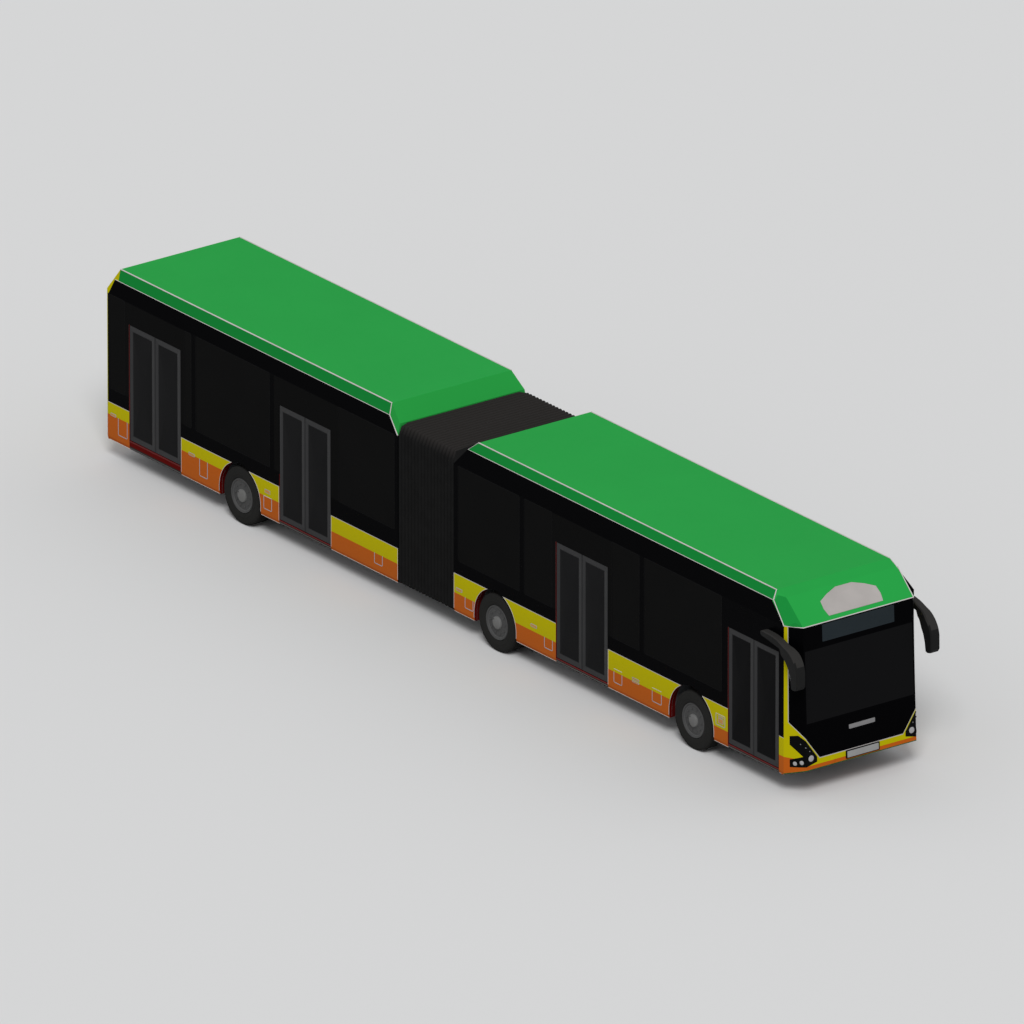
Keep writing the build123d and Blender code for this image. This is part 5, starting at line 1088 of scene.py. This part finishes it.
lamp_set = Piece()
for side in SIDES.values():
    for y, z, radius in LAMPS:
        # On the corner the circle is squeezed across, so that it is round along the slanted face.
        squeeze = CORNER_SQUEEZE if y > NOSE_FLAT else 1.0
        outline = circle(radius, 36) * np.array([squeeze, 1.0])
        lamp_set.add(panel(outline, (side * y, z), LAMP_RIM, on_nose), 1)
        lamp_set.add(panel(outline, (side * y, z), LAMP_DOME, on_nose), 2 if radius < SMALL_LAMP_R else 0)
lamp_set.make("headlamp_lenses", "front_car", [LENS_CLEAR, LAMP_BLACK, LENS_SMALL_SHADED], "lamp_lens")

BAR, HOLDER, BLANK, VISOR_PANEL, SCREEN, TOW_COVER = range(6)
# Panels: centre, size, corner radius, rows and finish.
NOSE_PANELS = [
    ((0.02, 0.572), (0.66, 0.135), 0.012, panel_rows(-0.002, 0.012, 0.97, 0.014), HOLDER),
    ((0.02, 0.572), (0.615, 0.105), 0.010, panel_rows(0.010, 0.0165, 0.99, 0.0175), BLANK),
    ((-0.56, 0.540), (0.112, 0.112), 0.055, panel_rows(-0.010, 0.0005, 0.96, 0.0015), TOW_COVER),
    ((0.02, 1.020), (0.51, 0.070), 0.010, panel_rows(-0.002, 0.006, 0.98, 0.009, 0.002), BAR),
    ((0.0, 2.685), (1.412, 0.285), 0.012, panel_rows(-0.004, 0.0005, 0.995, 0.0015), SCREEN),
]
# Raised patch on the visor as (across, share of the slope).
PATCH = np.array([(-0.53, 0.855), (-0.56, 0.62), (-0.545, 0.38), (-0.37, 0.22), (-0.16, 0.085),
                  (0.16, 0.085), (0.37, 0.22), (0.545, 0.38), (0.56, 0.62), (0.53, 0.855)])
PATCH_ROWS = [(0.0, -0.003), (1.0, -0.003), (1.0, 0.006), (0.985, 0.009), (0.965, 0.0065), (0.0, 0.0065)]


def on_visor(across, share, height):
    """Places shapes on the visor's slope: share runs from its upper break to its lip."""
    run = np.array([VISOR_LIP_X - VISOR_BREAK[0], EAVES_Z - VISOR_BREAK[1]])
    normal = np.array([-run[1], run[0]]) / np.hypot(*run)
    x = VISOR_BREAK[0] + run[0] * share + height * normal[0]
    z = VISOR_BREAK[1] + run[1] * share + height * normal[1]
    return np.stack([x, across + 0 * x, z], -1)


front_fittings = Piece()
for centre, size, radius, rows, finish in NOSE_PANELS:
    front_fittings.add(panel(rounded(*size, radius), centre, rows, on_nose), finish)
patch_middle = PATCH.mean(axis=0)
patch_rows = [(patch_middle + (PATCH - patch_middle) * share, height) for share, height in PATCH_ROWS]
front_fittings.add(flat_rows(patch_rows, on_visor), VISOR_PANEL)
front_fittings.make("front_panels", "front_car", [BAR_GREY, SEAL_RUBBER, PLATE, PANEL_GREY, DISPLAY, MASK],
                    "mask_paint")


# Tail: window seal, lamp lenses, reflectors, high brake lamp, and the flap's grille and blank plate

TAIL_SEAL = [(0.0, -0.001), (0.1, 0.003), (0.5, 0.004), (1.0, 0.001), (1.0, -0.004)]
RED, AMBER, CLEAR = 1, 2, 3
# Lamps of a cluster from the top: z and finish.
TAIL_LAMPS = ((1.365, RED), (1.205, AMBER), (1.045, RED), (0.885, CLEAR))
HIGH_LAMP_Z, TAIL_PLATE_Z = 2.775, 0.78


def on_tail(across, up, height):
    """Places flat shapes on the tail's face, standing rearward by height."""
    return np.stack([REAR_X - height + 0 * across, across, up], -1)


def tail_panel(piece, centre, size, radius, height, finish):
    """Rounded panel with a softened front edge on the tail's face."""
    rows = panel_rows(-0.004, height - 0.0015, 0.97, height)
    piece.add(panel(rounded(*size, radius), centre, rows, on_tail), finish)


tail = Piece()
window = (0.0, sum(TAIL_WINDOW[1:]) / 2)
window_size = np.array([2 * TAIL_WINDOW[0], TAIL_WINDOW[2] - TAIL_WINDOW[1]])
seal_outer = shifted(rounded(*(window_size + 0.020), 0.05), *window)
seal_inner = shifted(rounded(*(window_size - 0.014), 0.035), *window)
tail.add(ring_rows(seal_outer, seal_inner, TAIL_SEAL, on_tail), 0, joined=True)
tail_panel(tail, (0.0, HIGH_LAMP_Z), (0.32, 0.028), 0.008, 0.006, RED)
for side in SIDES.values():
    for up, finish in TAIL_LAMPS:
        tail_panel(tail, (side * TAIL_LAMP_Y, up), (0.112, 0.140), 0.014, 0.006, finish)
    tail_panel(tail, (side * 1.08, 0.560), (0.110, 0.040), 0.008, 0.004, RED)
    tail_panel(tail, (side * 1.10, HIGH_LAMP_Z), (0.070, 0.030), 0.008, 0.006, RED)
tail.make("tail_fittings", "rear_car", [SEAL_RUBBER, LENS_RED, LENS_AMBER, LENS_CLEAR], "lamp_lens")

flap_parts = Piece()
for up in FLAP_SLATS:
    tail_panel(flap_parts, (0.0, up), (1.20, 0.016), 0.006, 0.004, 0)
tail_panel(flap_parts, (0.0, TAIL_PLATE_Z), (0.56, 0.150), 0.012, 0.004, 0)
tail_panel(flap_parts, (0.0, TAIL_PLATE_Z), (0.52, 0.112), 0.008, 0.006, 1)
for across in (-0.62, 0.62):
    tail_panel(flap_parts, (across, 0.66), (0.075, 0.030), 0.010, 0.005, 0)
flap_parts.make("tail_flap_fittings", FLAP_BODY, [SEAL_RUBBER, PLATE], "trim_black")


# Mirrors: hooked arms that swell into a head, with glass to the rear

def arc_points(start, middle, end, steps):
    """Points on the circle through three points, from start to end."""
    (ax, ay), (bx, by), (cx, cy) = start, middle, end
    a_square, b_square, c_square = (x * x + y * y for x, y in (start, middle, end))
    d = 2 * (ax * (by - cy) + bx * (cy - ay) + cx * (ay - by))
    ux = (a_square * (by - cy) + b_square * (cy - ay) + c_square * (ay - by)) / d
    uy = (a_square * (cx - bx) + b_square * (ax - cx) + c_square * (bx - ax)) / d
    radius = math.hypot(ax - ux, ay - uy)
    first, via, last = (math.atan2(y - uy, x - ux) for x, y in (start, middle, end))
    turned = (last - first) % TURN
    if (via - first) % TURN > turned:
        turned -= TURN
    angle = first + turned * np.linspace(0, 1, steps)
    return np.stack([ux + radius * np.cos(angle), uy + radius * np.sin(angle)], -1)


# The arm's lower and upper line as (x, z), from the root to the foot of the head.
LOWER = np.concatenate([
    [(8.215, 2.615), (8.260, 2.600), (8.40, 2.577), (8.56, 2.549), (8.718, 2.520), (8.752, 2.420)],
    arc_points((8.752, 2.420), (8.905, 2.262), (8.985, 2.040), 14)[1:],
    [(9.003, 1.945), (9.045, 1.934)],
])
UPPER = np.concatenate([
    [(8.215, 2.680), (8.260, 2.694), (8.42, 2.692)],
    arc_points((8.42, 2.692), (8.64, 2.665), (8.82, 2.600), 5)[1:-1],
    arc_points((8.82, 2.600), (9.075, 2.455), (9.165, 2.240), 13),
    [(9.165, 2.12), (9.165, 2.0), (9.130, 1.950)],
])
# Inner face of the arm, the head's step inward from there, and the outer face, from the centre line.
ARM_INNER_Y, HEAD_STEP, ARM_OUTER_Y = 1.277, 0.046, 1.411
HEAD_START_X, HEAD_RUN = 8.80, 0.16
MIRROR_PLACE = (1.321, 2.120)
MIRROR_ROWS = panel_rows(-0.02, 0.001, 0.97, 0.003)


def mirror_arm(side):
    """Square section stretched from lower to upper line and from inner to outer face, less at both ends."""
    along = np.linspace(0, 1, len(LOWER))
    upper = np.stack([np.interp(along, np.linspace(0, 1, len(UPPER)), UPPER[:, k]) for k in (0, 1)], -1)
    middle, half = (LOWER + upper) / 2, (upper - LOWER) / 2
    inner_y = ARM_INNER_Y - HEAD_STEP * np.clip((middle[:, 0] - HEAD_START_X) / HEAD_RUN, 0, 1)
    y_middle, y_half = (inner_y + ARM_OUTER_Y) / 2, (ARM_OUTER_Y - inner_y) / 2
    closing = np.ones(len(LOWER))
    closing[0], closing[-1] = 0.9, 0.94
    grown = rounded(1.0, 1.0, 0.11, 2)[None] * 2 * closing[:, None, None]
    flat = middle[:, None] + half[:, None] * grown[..., 1:]
    y = side * (y_middle[:, None] + y_half[:, None] * grown[..., 0])
    return np.stack([flat[..., 0], y, flat[..., 1]], -1)


def behind_head(across, up, height):
    """Places flat shapes along the head's rear, which leans with the arm's lower line."""
    x = np.interp(up, LOWER[::-1, 1], LOWER[::-1, 0])
    return np.stack([x - height, across, up], -1)


def light_upward_faces(made, level, finish, lit_finish):
    """Give the faces of one finish whose normal rises above the level another finish: painted light on the
    upward faces.
    """
    faces = made.data.polygons
    normals, finishes = np.empty(3 * len(faces), np.float32), np.empty(len(faces), np.int32)
    faces.foreach_get("normal", normals)
    faces.foreach_get("material_index", finishes)
    finishes[(normals[2::3] > level) & (finishes == finish)] = lit_finish
    faces.foreach_set("material_index", finishes)


mirrors = Piece()
glass = rounded(0.136, 0.250, 0.020)
for side in SIDES.values():
    mirrors.add(mirror_arm(side), 0)
    centre = (side * MIRROR_PLACE[0], MIRROR_PLACE[1])
    mirrors.add(panel(glass, centre, MIRROR_ROWS, behind_head), 1)
mirror_finishes = [MIRROR_SHELL, MIRROR_GLASS, MIRROR_LIT_TOP]
mirror_arms = mirrors.make("mirror_arms", "front_car", mirror_finishes, "mirror_housing", 24.0)
# Painted light: the arms' upward faces take the paler finish.
light_upward_faces(mirror_arms, 0.30, 0, 2)
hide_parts("mirrors")


# Stage

def stage_floor():
    """Plain pale floor that takes the bus's shadow."""
    made, _, shader, _ = new_material("pale_studio_floor")
    shader.inputs["Roughness"].default_value = 0.9
    shader.inputs["Specular IOR Level"].default_value = 0.0
    shader.inputs["Base Color"].default_value = linear("DADADA")
    mesh = bpy.data.meshes.new("studio_floor")
    reach = 260.0
    corners = [(-reach, -reach, 0.0), (reach, -reach, 0.0), (reach, reach, 0.0), (-reach, reach, 0.0)]
    mesh.from_pydata(corners, [], [(0, 1, 2, 3)])
    mesh.materials.append(made)
    floor = bpy.data.objects.new("studio_floor", mesh)
    bpy.context.scene.collection.objects.link(floor)


stage_floor()

# Sky: white where the camera, a reflection or a pane sees it, weaker as a light.
WORLD_LIGHT = 0.62
world = bpy.data.worlds.new("studio_sky")
bpy.context.scene.world = world
world.use_nodes = True
sky = world.node_tree
paths = add_node(sky, "ShaderNodeLightPath")
seen = paths.outputs["Is Camera Ray"]
for ray in ("Is Glossy Ray", "Is Transmission Ray"):
    seen = add_node(sky, "ShaderNodeMath", {0: seen, 1: paths.outputs[ray]}, operation="MAXIMUM").outputs[0]
strength = add_node(sky, "ShaderNodeMapRange", {0: seen, 1: 0.0, 2: 1.0, 3: WORLD_LIGHT, 4: 1.0}).outputs[0]
background = sky.nodes["Background"]
background.inputs["Color"].default_value = linear("F2F3F4")
sky.links.new(strength, background.inputs["Strength"])

# Sun: broad and soft, from the front right and above.
SUN_POWER, SUN_SPREAD, TOWARDS_SUN = 1.75, 20, np.array([0.55, -0.42, 0.72])
sun_data = bpy.data.lights.new("studio_key", "SUN")
sun_data.energy = SUN_POWER
sun_data.angle = math.radians(SUN_SPREAD)
sun = bpy.data.objects.new("studio_key", sun_data)
bpy.context.scene.collection.objects.link(sun)
towards = TOWARDS_SUN / np.linalg.norm(TOWARDS_SUN)
sun.rotation_euler = (math.acos(towards[2]), 0.0, math.atan2(towards[1], towards[0]) + math.pi / 2)

# Camera: a long lens far off, so that parallel edges stay parallel as in the photograph.
DISTANCE, PICTURE_WIDTH, SENSOR = 600.0, 16.2, 36.0
BACKWARD, TARGET = np.array([0.7436, -0.5570, 0.3703]), np.array([-0.164, 0.021, 1.66])
camera_data = bpy.data.cameras.new("camera")
camera_data.lens = SENSOR * DISTANCE / PICTURE_WIDTH
camera_data.clip_end = 1500.0
camera = bpy.data.objects.new("camera", camera_data)
bpy.context.scene.collection.objects.link(camera)
camera.location = Vector(TARGET + BACKWARD * DISTANCE)
camera.rotation_euler = Vector(-BACKWARD).to_track_quat("-Z", "Y").to_euler()
bpy.context.scene.camera = camera
bpy.context.scene.view_settings.view_transform = "Standard"
